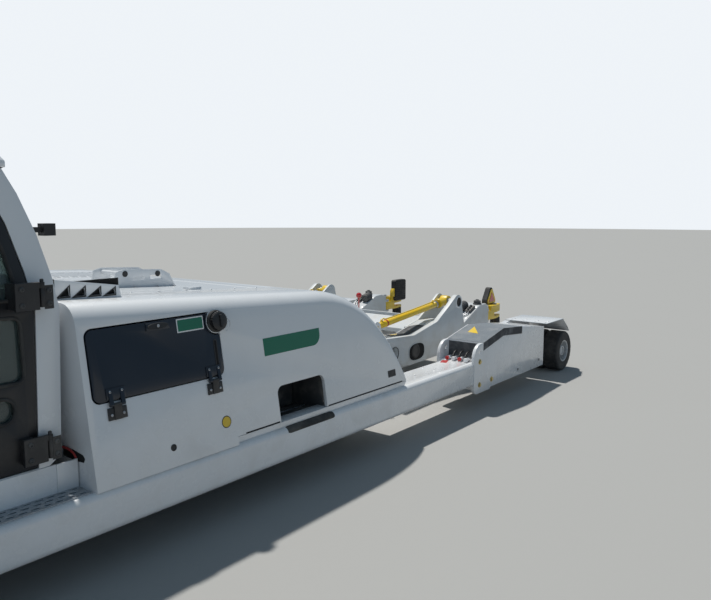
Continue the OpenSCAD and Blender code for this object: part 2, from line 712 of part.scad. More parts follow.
// Cab: leaning walls cut for the windows and the door
cab_front_x = 3650;
cab_toe_z = nose_rear_top_z + fit - (nose_rear_top_z - nose_front_top_z) * 0.45
  * (cab_front_x - beam_front_x) / (nose_front_x - beam_front_x) / 0.5;
CAB_SIDE = [[2105, cab_z], [2040, 650], [1992, 1366], [2007, 1518], [2056, 1732], [2124, 1928], [2184, cab_top_z],
  [3252, cab_top_z], [cab_front_x, cab_toe_z], [beam_front_x - fit, nose_rear_top_z + fit],
  [beam_front_x - fit, cab_z]];
function cab_y(z) = z < 1370 ? 1535 - (z - cab_z) * 0.0457 : 1500 - (z - 1370) * 0.169;

module cab_section(inset) {
  top = cab_top_z + over;
  polygon([[cab_inner_y + inset, cab_z - over + inset], [cab_y(cab_z) - inset, cab_z - over + inset],
    [cab_y(1370) - inset, 1370], [cab_y(top) - inset, top], [cab_inner_y + inset, top]]);
}
// Section of a skin in the cab's left wall, between two depths from its face
module cab_skin(depth, in_depth) {
  zs = [cab_z - over, 1370, cab_top_z + over];
  polygon(concat([for (z = zs) [cab_y(z) - depth, z]], [for (i = [2:-1:0]) [cab_y(zs[i]) - in_depth, zs[i]]]));
}
// Side view of the room inside the cab
ROOM = [[2145, cab_z + cab_wall_t], [2082, 670], [2034, 1366], [2048, 1512], [2095, 1718], [2162, 1914],
  [2222, cab_top_z + over], [3206, cab_top_z + over], [3590, 1150], [beam_front_x - cab_wall_t, 1175],
  [beam_front_x - cab_wall_t, cab_z + cab_wall_t]];

// Outline of the door seen from the side
DOOR = [[2166, cab_z + 12], [2122, 1390], [2150, 1560], [2205, 1780], [2290, 1990], [door_front_x, 1990],
  [door_front_x, cab_z + 12]];

module cab_shell() {
  color("white") difference() {
    intersection() {
      slab_y(cab_inner_y, 1560) polygon(CAB_SIDE);
      slab_x(1900, 3700) cab_section(0);
    }
    intersection() {
      slab_y(cab_inner_y, 1560) polygon(ROOM);
      slab_x(1900, 3700) cab_section(cab_wall_t);
    }
    // door opening, right window, quarter window, windscreen and rear window
    slab_y(1300, 1600) offset(delta = door_gap) polygon(DOOR);
    slab_y(cab_inner_y - over, cab_inner_y + cab_wall_t + over)
      polygon([[2200, 1400], [2300, 1940], [3190, 1940], [3420, 1400]]);
    slab_y(1300, 1600) polygon([[door_front_x + 60, 1330], [door_front_x + 60, 1960], [3230, 1960], [3480, 1330]]);
    block([3240, cab_inner_y + 90, 1230], [3700, 1400, 1950]);
    block([1900, cab_inner_y + 110, 1440], [2200, 1320, 1920]);
  }
}

module cab_roof() {
  x0 = 2184 - roof_lip;
  x1 = 3252 + roof_lip;
  y0 = cab_inner_y - roof_lip;
  y1 = cab_y(cab_top_z) + roof_lip;
  z = cab_top_z;
  color("white") hull() {
    translate([x0, y0, z]) linear_extrude(30) soft_square([x1 - x0, y1 - y0], 60, $fn = 32);
    translate([x0 + 40, y0 + 40, z]) linear_extrude(roof_t) soft_square([x1 - x0 - 110, y1 - y0 - 80], 60, $fn = 32);
  }
}

// Window glass, set in the middle of the walls' thickness
module cab_glass() {
  g = cab_wall_t / 2;
  color([0.2, 0.3, 0.3, 0.5]) {
    slab_y(cab_inner_y + g, cab_inner_y + g + glass_t)
      polygon([[2200 + fit, 1400 + fit], [2300 + fit, 1940 - fit], [3190 - fit, 1940 - fit], [3420 - fit, 1400 + fit]]);
    intersection() {
      slab_y(1300, 1600) polygon([[door_front_x + 60 + fit, 1330 + fit], [door_front_x + 60 + fit, 1960 - fit],
        [3230 - fit, 1960 - fit], [3480 - fit, 1330 + fit]]);
      difference() {
        slab_x(2900, 3600) cab_section(g);
        slab_x(2899, 3601) cab_section(g + glass_t);
      }
    }
    slab_y(cab_inner_y + 90 + fit, 1400 - fit) polygon([[3570, 1230 + fit], [3570 + glass_t, 1230 + fit],
      [3268 + glass_t, 1950 - fit], [3268, 1950 - fit]]);
    slab_y(cab_inner_y + 110 + fit, 1320 - fit) polygon([[2020, 1440 + fit], [2020 + glass_t, 1440 + fit],
      [2139 + glass_t, 1920 - fit], [2139, 1920 - fit]]);
  }
}

// Door: follows the cab's walls, with three windows, and its hinge leaves
HINGE_ZS = [700, 1440];
hinge_h = 90;
hinge_r = 13;
door_swing_r = door_front_x - door_pin_x + 5;
module door_windows(grow) {
  offset(delta = grow) {
    polygon([[2185, 1430], [2225, 1640], [2260, 1760], [2340, 1930], [2925, 1930], [2925, 1430]]);
    translate([2195, 1040]) soft_square([720, 310], 40);
    translate([2310, 918]) circle(60);
  }
}
module cab_door() {
  color([0.2, 0.21, 0.22]) {
    difference() {
      intersection() {
        slab_y(1300, 1600) polygon(DOOR);
        slab_x(2000, 3100) cab_skin(0, cab_wall_t);
        // front edge rounded to swing clear of its pillar
        translate([door_pin_x, door_pin_y, cab_z]) cylinder(r = door_swing_r, h = 1500, $fn = 180);
      }
      slab_y(1300, 1600) door_windows(0);
    }
  }
  color([0.08, 0.08, 0.08]) for (z = HINGE_ZS) {
    translate([door_pin_x, door_pin_y, z + hinge_h / 2 + fit]) cylinder(r = hinge_r, h = 28);
    block([door_pin_x, door_pin_y - 10, z + hinge_h / 2 + fit], [2240, door_pin_y + 8, z + hinge_h / 2 + 28]);
    block([2196, cab_y(z) - 12, z + hinge_h / 2 + fit], [2240, door_pin_y, z + hinge_h / 2 + 28]);
  }
}
module door_glass() {
  g = cab_wall_t / 2;
  color([0.2, 0.3, 0.3, 0.5]) intersection() {
    slab_y(1300, 1600) door_windows(-fit);
    slab_x(2000, 3100) cab_skin(g, g + glass_t);
  }
}

// Fixed leaves: the door's on the rear pillar, the access panel's on the fairing
PANEL_HINGE_XS = [panel_x + 90, panel_x + panel_l - 130];
panel_plate_w = 110;
// Plate of a panel hinge, between two heights and two distances from the fairing's face
module panel_plate(x, z0, z1, in, out) {
  slab_x(x - panel_plate_w / 2, x + panel_plate_w / 2)
    polygon([for (c = [[in, z0], [out, z0], [out, z1], [in, z1]]) [side_y(c[1]) + c[0], c[1]]]);
}
panel_pin_y = side_y(panel_z) + 16;
panel_pin_z = panel_z - 12;
module hinges() {
  color([0.08, 0.08, 0.08]) {
    for (z = HINGE_ZS) {
      translate([door_pin_x, door_pin_y, z - hinge_h / 2]) cylinder(r = hinge_r, h = hinge_h);
      slab_x(door_pin_x - 45, door_pin_x + 2) polygon([[cab_y(z - hinge_h / 2) + fit, z - hinge_h / 2],
        [door_pin_y + 4, z - hinge_h / 2], [door_pin_y + 4, z + hinge_h / 2], [cab_y(z + hinge_h / 2) + fit, z + hinge_h / 2]]);
    }
    for (x = LID_HINGE_XS) {
      lid_pin(x, -30, 30);
      lid_leaf(x, -30, 30, lid_y - 60, lid_pin_y);
    }
    for (x = PANEL_HINGE_XS) {
      translate([x - 22, panel_pin_y, panel_pin_z]) rotate([0, 90, 0]) cylinder(r = 9, h = 44);
      slab_x(x - 22, x + 22) polygon([[panel_pin_y - 2, panel_pin_z + 4], [panel_pin_y + 6, panel_pin_z - 4],
        [side_y(panel_z - 90) + 12, panel_z - 90], [side_y(panel_z - 90) + 0.6, panel_z - 90],
        [side_y(panel_z - 16) + 0.6, panel_z - 16]]);
      panel_plate(x, panel_z - 90, panel_z - 28, 0.6, 8);
    }
    // filler cap beside the panel
    translate([cap_x, side_y(cap_z), cap_z]) rotate([lean_a - 90, 0, 0]) translate([0, 0, fit]) {
      cylinder(r = cap_seat_r - 12, h = 6);
      translate([0, 0, 5]) cylinder(r = cap_seat_r - 24, h = 24);
      translate([-36, -8, 28]) cube([72, 16, 10]);
    }
  }
}

// Access panel: dark panel in the left fairing, hinged at the bottom
module access_panel() {
  color([0.05, 0.07, 0.12]) intersection() {
    slab_y(1300, tractor_w) panel_outline(door_gap);
    slab_x(0, 3000) polygon([for (c = [[-20, 800], [6, 800], [6, 1300], [-20, 1300]]) [side_y(c[1]) + c[0], c[1]]]);
  }
  color([0.08, 0.08, 0.08]) {
    for (x = PANEL_HINGE_XS, dx = [-45, 22 + fit]) {
      translate([x + dx, panel_pin_y, panel_pin_z]) rotate([0, 90, 0]) cylinder(r = 9, h = 23 - fit);
      slab_x(x + dx, x + dx + 23 - fit) polygon([[panel_pin_y - 5, panel_pin_z + 5], [panel_pin_y + 8, panel_pin_z],
        [side_y(panel_z + 60) + 16, panel_z + 60], [side_y(panel_z + 60) + 4, panel_z + 60]]);
    }
    for (x = PANEL_HINGE_XS) panel_plate(x, panel_z + 16, panel_z + 72, 5, 13);
    slab_x(1410, 1560) polygon([for (c = [[5, 1205], [14, 1205], [14, 1245], [5, 1245]]) [side_y(c[1]) + c[0], c[1]]]);
  }
}

// Driver's seat on its base
module seat() {
  x = 2480;
  y = 860;
  z = cab_z + cab_wall_t;
  color([0.1, 0.1, 0.11]) {
    block([x - 170, y - 170, z], [x + 170, y + 170, z + 230]);
    translate([x - 250, y - 250, z + 229]) linear_extrude(110) soft_square([500, 500], 70);
    slab_y(y - 240, y + 240) polygon([[x - 250, z + 300], [x - 130, z + 300], [x - 190, z + 820],
      [x - 225, z + 850], [x - 280, z + 850], [x - 300, z + 820]]);
  }
}

// Steering column and wheel on a console
module console() {
  z = cab_z + cab_wall_t;
  color([0.15, 0.15, 0.16]) {
    slab_y(700, 1020) polygon([[2870, z], [2955, z], [2955, 1000], [2925, 1045], [2870, 985]]);
    translate([2900, 860, 1010]) rotate([0, -28, 0]) {
      cylinder(r = 24, h = 160);
      translate([0, 0, 160]) rotate_extrude() translate([185, 0]) circle(14);
      translate([0, 0, 150]) cylinder(r = 45, h = 22);
      for (a = [0, 120, 240]) rotate([0, 0, a]) translate([0, -15, 154]) cube([186, 30, 12]);
    }
  }
}

// Mirrors on arms at the front pillars
mirror_y = 1530;
mirror_z = 1700;
module mirrors() {
  color([0.08, 0.08, 0.08]) {
    rod_y(3330, mirror_z, 12, cab_y(mirror_z - 12) + fit, mirror_y + 20);
    slab_x(3310, 3355) translate([mirror_y, mirror_z - 150]) soft_square([170, 300], 50);
    rod_y(3330, mirror_z, 12, 2 * cab_inner_y - mirror_y + cab_inner_y, cab_inner_y - fit);
    slab_x(3310, 3355) translate([3 * cab_inner_y - mirror_y - 150, mirror_z - 150]) soft_square([170, 300], 50);
  }
}

module beacon() {
  color("orange") translate([2400, 640, cab_top_z + roof_t]) {
    cylinder(r = 62, h = 40);
    translate([0, 0, 39]) cylinder(r = 52, h = 70);
    translate([0, 0, 108]) intersection() {
      sphere(52);
      cylinder(r = 60, h = 60);
    }
  }
}

// Steps: perforated plate beside the door, and ribbed treads in the foot holes
step_t = 6;
step_x = fairing_front_x + 10;
step_l = 1014;
step_y = beam_y - 165;
// Slot with round ends, l long and w wide
module slot(l, w) {
  translate([(w - l) / 2, -w / 2]) square([l - w, w]);
  for (x = [(w - l) / 2, (l - w) / 2]) translate([x, 0]) circle(w / 2);
}
module steps() {
  color("lightgray") {
    difference() {
      block([step_x, step_y, beam_top_z], [step_x + step_l, beam_y - beam_edge_r, beam_top_z + step_t]);
      translate([0, 0, beam_top_z - over]) linear_extrude(step_t + 2 * over)
        for (row = [0:2], x = [step_x + 40 + 30 * (row % 2):60:step_x + step_l - 40])
          translate([x, step_y + 23 + 40 * row]) slot(40, 17);
    }
    both_sides() for (y = [beam_in_y + 20, beam_in_y + 105])
      block([foot_hole_x + 10, y, beam_top_z], [foot_hole_x + foot_hole_l - 10, y + 60, beam_top_z + 34]);
  }
}

// Intake cowl behind the cab, with a row of sawtooth openings in its side
module intake_cowl() {
  y0 = 260;
  y1 = 1280;
  x0 = 1490;
  x1 = 1890;
  color("white") difference() {
    slab_y(y0, y1) polygon([[x0, deck_z(x0) + fit], [x1, deck_z(x1) + fit], [x1, 1490], [x0 + 20, 1432]]);
    slab_y(y0 + 12, y1 - 12) polygon([[x0 + 12, deck_z(x0) + 8], [x1 + over, deck_z(x1) + 8], [x1 + over, 1480],
      [x0 + 30, 1424]]);
    for (i = [0:3]) translate([1530 + 92 * i, 0, 0]) slab_y(y1 - 13, y1 + over)
      polygon([[0, 1385 + 4 * i], [6, 1418 + 10 * i], [62, 1385 + 4 * i]]);
  }
}

pack_x = -300;
pack_l = 2000;
pack_half_w = 1020;
pack_h = 780;
module power_pack() {
  color("gray") block([pack_x, -pack_half_w, belly_top_z], [pack_x + pack_l, pack_half_w, belly_top_z + pack_h]);
}

// Indicator: a ball on a thin rod beside the cradle
module indicator_rod() {
  color("red") translate([base_x + 140, cyl_y - 60, sub_top_z]) {
    cylinder(r = 6, h = 520);
    translate([0, 0, 520]) sphere(r = 26);
  }
}

// Cradle: cheek plates, decks, gate arms and the nose gear platform in one welded frame
cheek_in_y = cheek_y - cheek_t;
cheek_side = concat([[pivot_x + 500, 400], [pivot_x + 500, 660], [pivot_x + 20, 630], [pivot_x - 400, 712],
    [lug_x + 200, lug_z - 22]], arc(lug_x + 20, lug_z, 78, 60, 180, 8),
  [[lug_x - 140, 560], [lug_x - 180, 400], [pivot_x - 520, 360], [pivot_x + 80, 345]]);
arm_in_y = gate_y - 105;
arm_out_y = gate_y + 115;
// Arm between the lug and the gate, seen from the side
arm_root_x = lug_x + 120;
arm_tip_x = gate_pin_x + 110;
ARM_SIDE = [[arm_root_x, 420], [arm_tip_x + 460, 557], [arm_tip_x, 656], [arm_tip_x, 496], [arm_tip_x + 460, 420],
  [lug_x - 80, 380], [arm_root_x, 360]];
// Dished seat for the nose wheels: a back rest that runs into a flat floor
scoop_z = 330;
dish_r = 420;
dish_x = lug_x - 40;
dish_pts = arc(dish_x, scoop_z + dish_r, dish_r, 0, -90, 8);
module scoop_outline() {
  polygon(concat([[dish_x + dish_r + scoop_t, scoop_z + dish_r]], [[dish_x + dish_r, scoop_z + dish_r]], dish_pts,
    [[dish_x - scoop_l + 30, scoop_z], [dish_x - scoop_l, scoop_z - scoop_t + 4], [dish_x - scoop_l, scoop_z - scoop_t]],
    [for (i = [8:-1:0]) [dish_pts[i][0] + (dish_pts[i][0] - dish_x) * scoop_t / dish_r,
      dish_pts[i][1] + (dish_pts[i][1] - scoop_z - dish_r) * scoop_t / dish_r]]));
}

module cradle_frame() {
  color("lightgray") {
    both_sides() {
      difference() {
        slab_y(cheek_in_y, cheek_y) polygon(cheek_side);
        rod_y(pivot_x, pivot_z, pivot_r, cheek_in_y - over, cheek_y + over);
        rod_y(pivot_x + 360, 500, 62, cheek_in_y - over, cheek_y + over);
        rod_y(lug_x, lug_z, lug_pin_r + 20, cheek_y - 15, cheek_y + over);
      }
      rod_y(lug_x, lug_z, lug_pin_r, cyl_y - 85, cheek_y - 15);
      // inner lug plate and the box that carries it
      difference() {
        slab_y(cyl_y - 85, cyl_y - 60) polygon(cheek_side);
        rod_y(pivot_x, pivot_z, pivot_r + 90, cyl_y - 90, cyl_y - 50);
        block([pivot_x - 170, cyl_y - 90, 300], [pivot_x + 580, cyl_y - 50, 700]);
      }
      slab_y(cyl_y - 61, cheek_in_y + over) polygon([[pivot_x - 200, 360], [pivot_x - 200, 640],
        [pivot_x - 400, 690], [lug_x + 220, 700], [lug_x - 140, 560], [lug_x - 180, 420], [pivot_x - 520, 362]]);
      // gate arm
      slab_y(arm_in_y, arm_out_y) polygon(ARM_SIDE);
      // ears of the gate's pivot
      for (z = [500, 632]) difference() {
        union() {
          translate([gate_pin_x, gate_y, z]) cylinder(r = 62, h = 24);
          block([gate_pin_x, gate_y - 62, z], [arm_tip_x + 10, gate_y + 62, z + 24]);
        }
        translate([gate_pin_x, gate_y, z - over]) cylinder(r = gate_pin_r + run, h = 26 + over);
      }
    }
    slab_y(-(cyl_y - 84), cyl_y - 84) polygon([[pivot_x - 180, 600], [pivot_x - 180, 640], [pivot_x - 400, 712],
      [pivot_x - 490, 735], [pivot_x - 490, 690], [pivot_x - 400, 668]]);
    slab_y(-(arm_in_y + over), arm_in_y + over) scoop_outline();
  }
}

// Lift cylinders: barrels on the chassis, rods pinned to the cradle's lugs
cyl_l = sqrt(pow(base_x - lug_x, 2) + pow(lug_z - base_z, 2));
cyl_a = atan2(lug_z - base_z, base_x - lug_x);
barrel_l = 0.86 * cyl_l;
module along_cylinder() {
  both_sides() translate([base_x, cyl_y, base_z]) rotate([0, -90 + cyl_a, 0]) children();
}
module cylinder_barrels() {
  color("gold") {
    along_cylinder() difference() {
      union() {
        translate([0, 0, 95]) cylinder(r = barrel_r, h = barrel_l - 95);
        translate([0, 0, 30]) cylinder(r = 21, h = 70);
        translate([0, 22, 0]) rotate([90, 0, 0]) cylinder(r = 44, h = 44);
      }
      translate([0, 0, 160]) cylinder(r = rod_r + run, h = barrel_l);
    }
    both_sides() rod_y(base_x, base_z, 25, cyl_y - ear_gap - ear_t, cyl_y + ear_gap + ear_t);
  }
}
module cylinder_rods() {
  color("silver") {
    along_cylinder() difference() {
      union() {
        translate([0, 0, 400]) cylinder(r = rod_r, h = cyl_l - 420);
        translate([0, 0, cyl_l]) rotate([90, 0, 0]) translate([0, 0, -40]) cylinder(r = 58, h = 80);
      }
      translate([0, 0, cyl_l]) rotate([90, 0, 0]) translate([0, 0, -50]) cylinder(r = lug_pin_r + 7, h = 100);
    }
  }
}

// Gates: yellow forks that swing inwards behind the nose wheels
gate_z = 500 + 24 + fit;
gate_top_z = 632 - fit;
gate_tip_r = 40;
fork_t = 32;
module gate(side) {
  color("gold") on_side(side) translate([gate_pin_x, gate_y, 0]) {
    translate([0, 0, gate_z]) cylinder(r = 60, h = gate_top_z - gate_z);
    translate([0, 0, 500]) cylinder(r = gate_pin_r, h = 200);
    difference() {
      translate([0, 0, gate_z]) linear_extrude(gate_top_z - gate_z)
        polygon(concat([[0, 60], [-200, 70]], arc(gate_tip_r - gate_l, 0, gate_tip_r, 90, 270, 8), [[-200, -70], [0, -60]]));
      block([-gate_l - over, -80, gate_z + fork_t], [-150, 80, gate_top_z - fork_t]);
    }
  }
}
module gate_pads(side) {
  color([0.08, 0.08, 0.08]) on_side(side) translate([gate_pin_x - gate_l, gate_y, 0]) {
    slab_y(-100, -30) translate([10, gate_top_z + fit]) soft_square([250, 280], 28);
    translate([80, 0, gate_z - 190]) cylinder(r = 60, h = 190 - fit);
  }
}

chassis_frame();
arm_box(LEFT);  // arm_box_left
arm_box(RIGHT);  // arm_box_right
fenders();
rear_axles();
on_body() front_axle();
on_body() fairing(LEFT, left_xs);  // side_fairing_left
on_body() fairing(RIGHT, right_xs);  // side_fairing_right
on_body() hood_deck();
on_body() hood_front();
on_body() nose_body();
on_body() bumper();
on_body() lamps();
on_body() cab_shell();
on_body() cab_roof();
on_body() cab_glass();
on_body() seat();
on_body() console();
on_body() mirrors();
on_body() beacon();
on_body() steps();
on_body() intake_cowl();
on_body() power_pack();
indicator_rod();
on_body() hinges();
on_body() knuckle(LEFT);  // knuckle_left
on_body() knuckle(RIGHT);  // knuckle_right
on_body() tie_rod();
on_body() front_tyre(LEFT);  // front_tyre_left
on_body() front_rim(LEFT);  // front_rim_left
on_body() front_tyre(RIGHT);  // front_tyre_right
on_body() front_rim(RIGHT);  // front_rim_right
rear_tyres(LEFT);  // rear_tyres_left
rear_rim(LEFT);  // rear_rim_left
rear_tyres(RIGHT);  // rear_tyres_right
rear_rim(RIGHT);  // rear_rim_right
on_body() cab_door();
on_body() door_glass();
on_body() access_panel();
on_body() hood_lid();
on_body() deck_guard();
cradle_frame();
cylinder_barrels();
cylinder_rods();
gate(LEFT);  // gate_left
gate(RIGHT);  // gate_right
gate_pads(LEFT);  // gate_pads_left
gate_pads(RIGHT);  // gate_pads_right
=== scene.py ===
"""Looks of a towbarless aircraft pushback tractor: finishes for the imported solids, and the bolts, trim,
pipes, tread, markings and padded parts that go on them. Laid out as an add-on: one operator for each group
of pieces. Lengths are in metres; x is ahead, y is to the left and z is up."""

import json
import math

import bpy
import numpy as np
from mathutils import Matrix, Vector


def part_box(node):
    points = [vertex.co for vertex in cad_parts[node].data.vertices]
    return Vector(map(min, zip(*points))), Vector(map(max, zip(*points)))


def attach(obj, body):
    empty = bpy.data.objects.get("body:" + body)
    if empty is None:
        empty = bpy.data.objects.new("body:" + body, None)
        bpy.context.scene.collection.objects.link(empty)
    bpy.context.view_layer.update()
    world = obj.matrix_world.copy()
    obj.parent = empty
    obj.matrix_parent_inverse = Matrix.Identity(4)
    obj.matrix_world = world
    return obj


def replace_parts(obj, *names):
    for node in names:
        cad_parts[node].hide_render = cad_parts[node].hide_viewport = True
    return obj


bl_info = {
    "name": "Pushback tractor dresser",
    "version": (1, 0, 0),
    "blender": (4, 5, 0),
    "location": "View3D > Sidebar > Tractor",
    "description": "Finishes and small pieces for a towbarless aircraft tractor",
    "category": "Object",
}

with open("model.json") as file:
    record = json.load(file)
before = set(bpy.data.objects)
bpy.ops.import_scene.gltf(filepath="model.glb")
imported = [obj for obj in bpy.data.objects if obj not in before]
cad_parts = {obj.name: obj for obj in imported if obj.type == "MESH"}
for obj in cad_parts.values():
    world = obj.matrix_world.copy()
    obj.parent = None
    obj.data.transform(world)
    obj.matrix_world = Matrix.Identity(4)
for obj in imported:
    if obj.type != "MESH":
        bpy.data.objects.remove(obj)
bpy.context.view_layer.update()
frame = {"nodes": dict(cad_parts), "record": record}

TAU = 2.0 * math.pi
LEFT = 1.0
RIGHT = -1.0
AHEAD = (1, 0, 0)
REARWARD = (-1, 0, 0)
LEFTWARD = (0, 1, 0)
RIGHTWARD = (0, -1, 0)
UPWARD = (0, 0, 1)
DOWNWARD = (0, 0, -1)


# Shader expressions
class Value:
    """A shader socket that takes part in arithmetic: each operator adds its Math node."""

    def __init__(self, maker, socket):
        self.maker = maker
        self.socket = socket

    def _math(self, operation, *terms, clamp=False):
        """One Math node on the given values."""
        settings = {"operation": operation, "use_clamp": clamp}
        return self.maker.node("ShaderNodeMath", settings, dict(enumerate(terms)))

    def __add__(self, other):
        return self._math("ADD", self, other)

    __radd__ = __add__

    def __sub__(self, other):
        return self._math("SUBTRACT", self, other)

    def __rsub__(self, other):
        return self._math("SUBTRACT", other, self)

    def __mul__(self, other):
        return self._math("MULTIPLY", self, other)

    __rmul__ = __mul__

    def __truediv__(self, other):
        return self._math("DIVIDE", self, other)

    def __pow__(self, other):
        return self._math("POWER", self, other)

    def __gt__(self, other):
        return self._math("GREATER_THAN", self, other)

    def __lt__(self, other):
        return self._math("LESS_THAN", self, other)

    def sine(self):
        """The sine of the value in radians."""
        return self._math("SINE", self)

    def clamped(self):
        """The value held between 0 and 1."""
        return self._math("ADD", self, 0.0, clamp=True)

    def _mapped(self, low, high, easing):
        """The share of the way from low to high, held between 0 and 1."""
        settings = {"clamp": True, "interpolation_type": easing}
        inputs = {"Value": self, "From Min": low, "From Max": high}
        return self.maker.node("ShaderNodeMapRange", settings, inputs)

    def ramp(self, low, high):
        """0 at low and 1 at high, straight between them and held outside."""
        return self._mapped(low, high, "LINEAR")

    def smooth(self, low, high):
        """0 at low and 1 at high, eased between them."""
        return self._mapped(low, high, "SMOOTHSTEP")


class Finish:
    """One procedural material, built node by node round a Principled shader."""

    def __init__(self, name, colour, roughness=0.5, metallic=0.0, **sockets):
        self.material = bpy.data.materials.new(name)
        self.material.use_nodes = True
        self.material.diffuse_color = (*colour[:3], 1.0)
        self.tree = self.material.node_tree
        self.tree.nodes.clear()
        self.output = self.tree.nodes.new("ShaderNodeOutputMaterial")
        self.shader = self.tree.nodes.new("ShaderNodeBsdfPrincipled")
        self.tree.links.new(self.shader.outputs[0], self.output.inputs[0])
        self.set("Base Color", (*colour[:3], 1.0))
        self.set("Roughness", roughness)
        self.set("Metallic", metallic)
        for socket, value in sockets.items():
            self.set(socket.replace("_", " "), value)

    def _feed(self, socket, value):
        """Links a value to a socket, or sets a number, a vector or a colour on it."""
        if isinstance(value, Value):
            self.tree.links.new(value.socket, socket)
        elif hasattr(socket.default_value, "__len__") and not hasattr(value, "__len__"):
            socket.default_value = [value] * len(socket.default_value)
        elif hasattr(value, "__len__") and len(value) == 3 and len(socket.default_value) == 4:
            socket.default_value = (*value, 1.0)
        else:
            socket.default_value = value

    def node(self, kind, settings=None, inputs=None, output=0):
        """Adds a node: its settings first, then the values or links of its sockets."""
        made = self.tree.nodes.new(kind)
        for key, value in (settings or {}).items():
            if key == "stops":
                self._stops(made.color_ramp, value)
            else:
                setattr(made, key, value)
        for key, value in (inputs or {}).items():
            self._feed(made.inputs[key], value)
        return Value(self, made.outputs[output])

    @staticmethod
    def _stops(ramp, stops):
        """Sets a ramp's stops: a place from 0 to 1 and a colour each."""
        while len(ramp.elements) < len(stops):
            ramp.elements.new(0.5)
        for element, (place, colour) in zip(ramp.elements, stops):
            element.position = place
            element.color = (*colour, 1.0)

    def set(self, socket, value):
        """Feeds a socket of the Principled shader."""
        self._feed(self.shader.inputs[socket], value)
        return self

    def place(self, scale):
        """Object coordinates, scaled along their axes."""
        spot = self.node("ShaderNodeTexCoord", output="Object")
        return self.node("ShaderNodeMapping", None, {"Vector": spot, "Scale": scale})

    def _split(self, vector):
        """The three numbers of a vector."""
        parts = self.tree.nodes.new("ShaderNodeSeparateXYZ")
        self.tree.links.new(vector.socket, parts.inputs[0])
        return [Value(self, parts.outputs[i]) for i in range(3)]

    def axes(self):
        """The x, y and z of Object coordinates, in metres."""
        return self._split(self.node("ShaderNodeTexCoord", output="Object"))

    def facing(self):
        """The x, y and z of the surface's direction."""
        return self._split(self.node("ShaderNodeNewGeometry", output="Normal"))

    def noise(self, scale, detail=4.0, rough=0.55, stretch=(1.0, 1.0, 1.0)):
        """Cloudy noise from 0 to 1, finer as the scale grows."""
        inputs = {"Vector": self.place(stretch), "Scale": scale, "Detail": detail, "Roughness": rough}
        return self.node("ShaderNodeTexNoise", None, inputs)

    def cells(self, scale):
        """The distance to the nearest of many scattered points: 0 at each, larger between them."""
        inputs = {"Vector": self.place((1.0, 1.0, 1.0)), "Scale": scale}
        return self.node("ShaderNodeTexVoronoi", {"feature": "F1"}, inputs)

    def mix(self, mask, first, second):
        """The first colour where mask is 0, and the second where it is 1."""
        made = self.tree.nodes.new("ShaderNodeMix")
        made.data_type = "RGBA"
        for key, value in ((0, mask), (6, first), (7, second)):
            self._feed(made.inputs[key], value)
        return Value(self, made.outputs[2])

    def bump(self, height, strength, distance):
        """Raises the surface by a height from 0 to 1, times the distance in metres."""
        inputs = {"Height": height, "Strength": strength, "Distance": distance}
        return self.set("Normal", self.node("ShaderNodeBump", None, inputs))


def toned(colour, factor, lift=0.0):
    """The colour times a factor, plus a lift, held at 1."""
    return tuple(min(1.0, factor * c + lift) for c in colour)


ROAD_DUST = (0.42, 0.39, 0.34)
TYRE_BLACK = (0.022, 0.022, 0.023)


def painted(name, colour, roughness, dust_amount, coat=0.5, chips=None):
    """Sprayed paint: orange peel, cloudy roughness, road dust low down and on ledges, and chips near the
    ground."""
    finish = Finish(name, colour, roughness, Coat_Weight=coat, Coat_Roughness=0.08)
    height = finish.axes()[2]
    up = finish.facing()[2]
    clouds = finish.noise(1.7, 6.0)
    film = finish.noise(7.0, 5.0, 0.6)
    low = 1.0 - height.smooth(0.1, 1.1)
    ledge = up.smooth(0.35, 0.95) * 0.3
    dirty = ((low * 0.9 + ledge + 0.08) * film.smooth(0.38, 0.72) * dust_amount).clamped()
    shade = finish.mix(clouds.smooth(0.35, 0.75) * 0.12, colour, toned(colour, 0.86))
    body = finish.mix(dirty, shade, ROAD_DUST)
    if chips is not None:
        speck = (finish.noise(95.0, 3.0, 0.7) > 0.74) * finish.noise(6.0, 2.0).smooth(0.5, 0.62) * low
        body = finish.mix(speck, body, chips)
    finish.set("Base Color", body)
    finish.set("Roughness", (clouds * 0.1 + dirty * 0.55 + (roughness - 0.04)).clamped())
    peel = finish.noise(420.0, 2.0)
    return finish.bump(peel, 0.06, 0.0005)


def rubbery(name, colour, roughness=0.72):
    """Rubber: matt, with a grey bloom of dust in its pores."""
    finish = Finish(name, colour, roughness)
    grain = finish.noise(240.0, 4.0, 0.65)
    bloom = finish.noise(5.0, 5.0).smooth(0.4, 0.75) * 0.4
    finish.set("Base Color", finish.mix(bloom, colour, (0.2, 0.19, 0.17)))
    finish.set("Roughness", (bloom * 0.3 + grain * 0.12 + (roughness - 0.1)).clamped())
    return finish.bump(grain, 0.3, 0.0008)


def moulded(name, colour, roughness=0.45):
    """Moulded plastic: fine leather-like grain and faint wear."""
    finish = Finish(name, colour, roughness)
    grain = finish.cells(650.0)
    wear = finish.noise(14.0, 4.0).smooth(0.45, 0.7)
    finish.set("Base Color", finish.mix(wear * 0.25, colour, toned(colour, 1.6, 0.02)))
    finish.set("Roughness", (wear * 0.15 + roughness).clamped())
    return finish.bump(grain, 0.15, 0.0004)


def bare_metal(name, colour, roughness=0.35, grain=(1.0, 1.0, 12.0)):
    """Machined or zinc-coated metal: long scratches, cloudy shine and dull spots."""
    finish = Finish(name, colour, roughness, 1.0)
    lines = finish.noise(160.0, 3.0, 0.6, grain)
    spots = finish.noise(11.0, 5.0).smooth(0.42, 0.7)
    finish.set("Base Color", finish.mix(spots * 0.45, colour, toned(colour, 0.6)))
    finish.set("Roughness", (lines * 0.15 + spots * 0.25 + roughness - 0.1).clamped())
    return finish.bump(lines, 0.15, 0.0003)


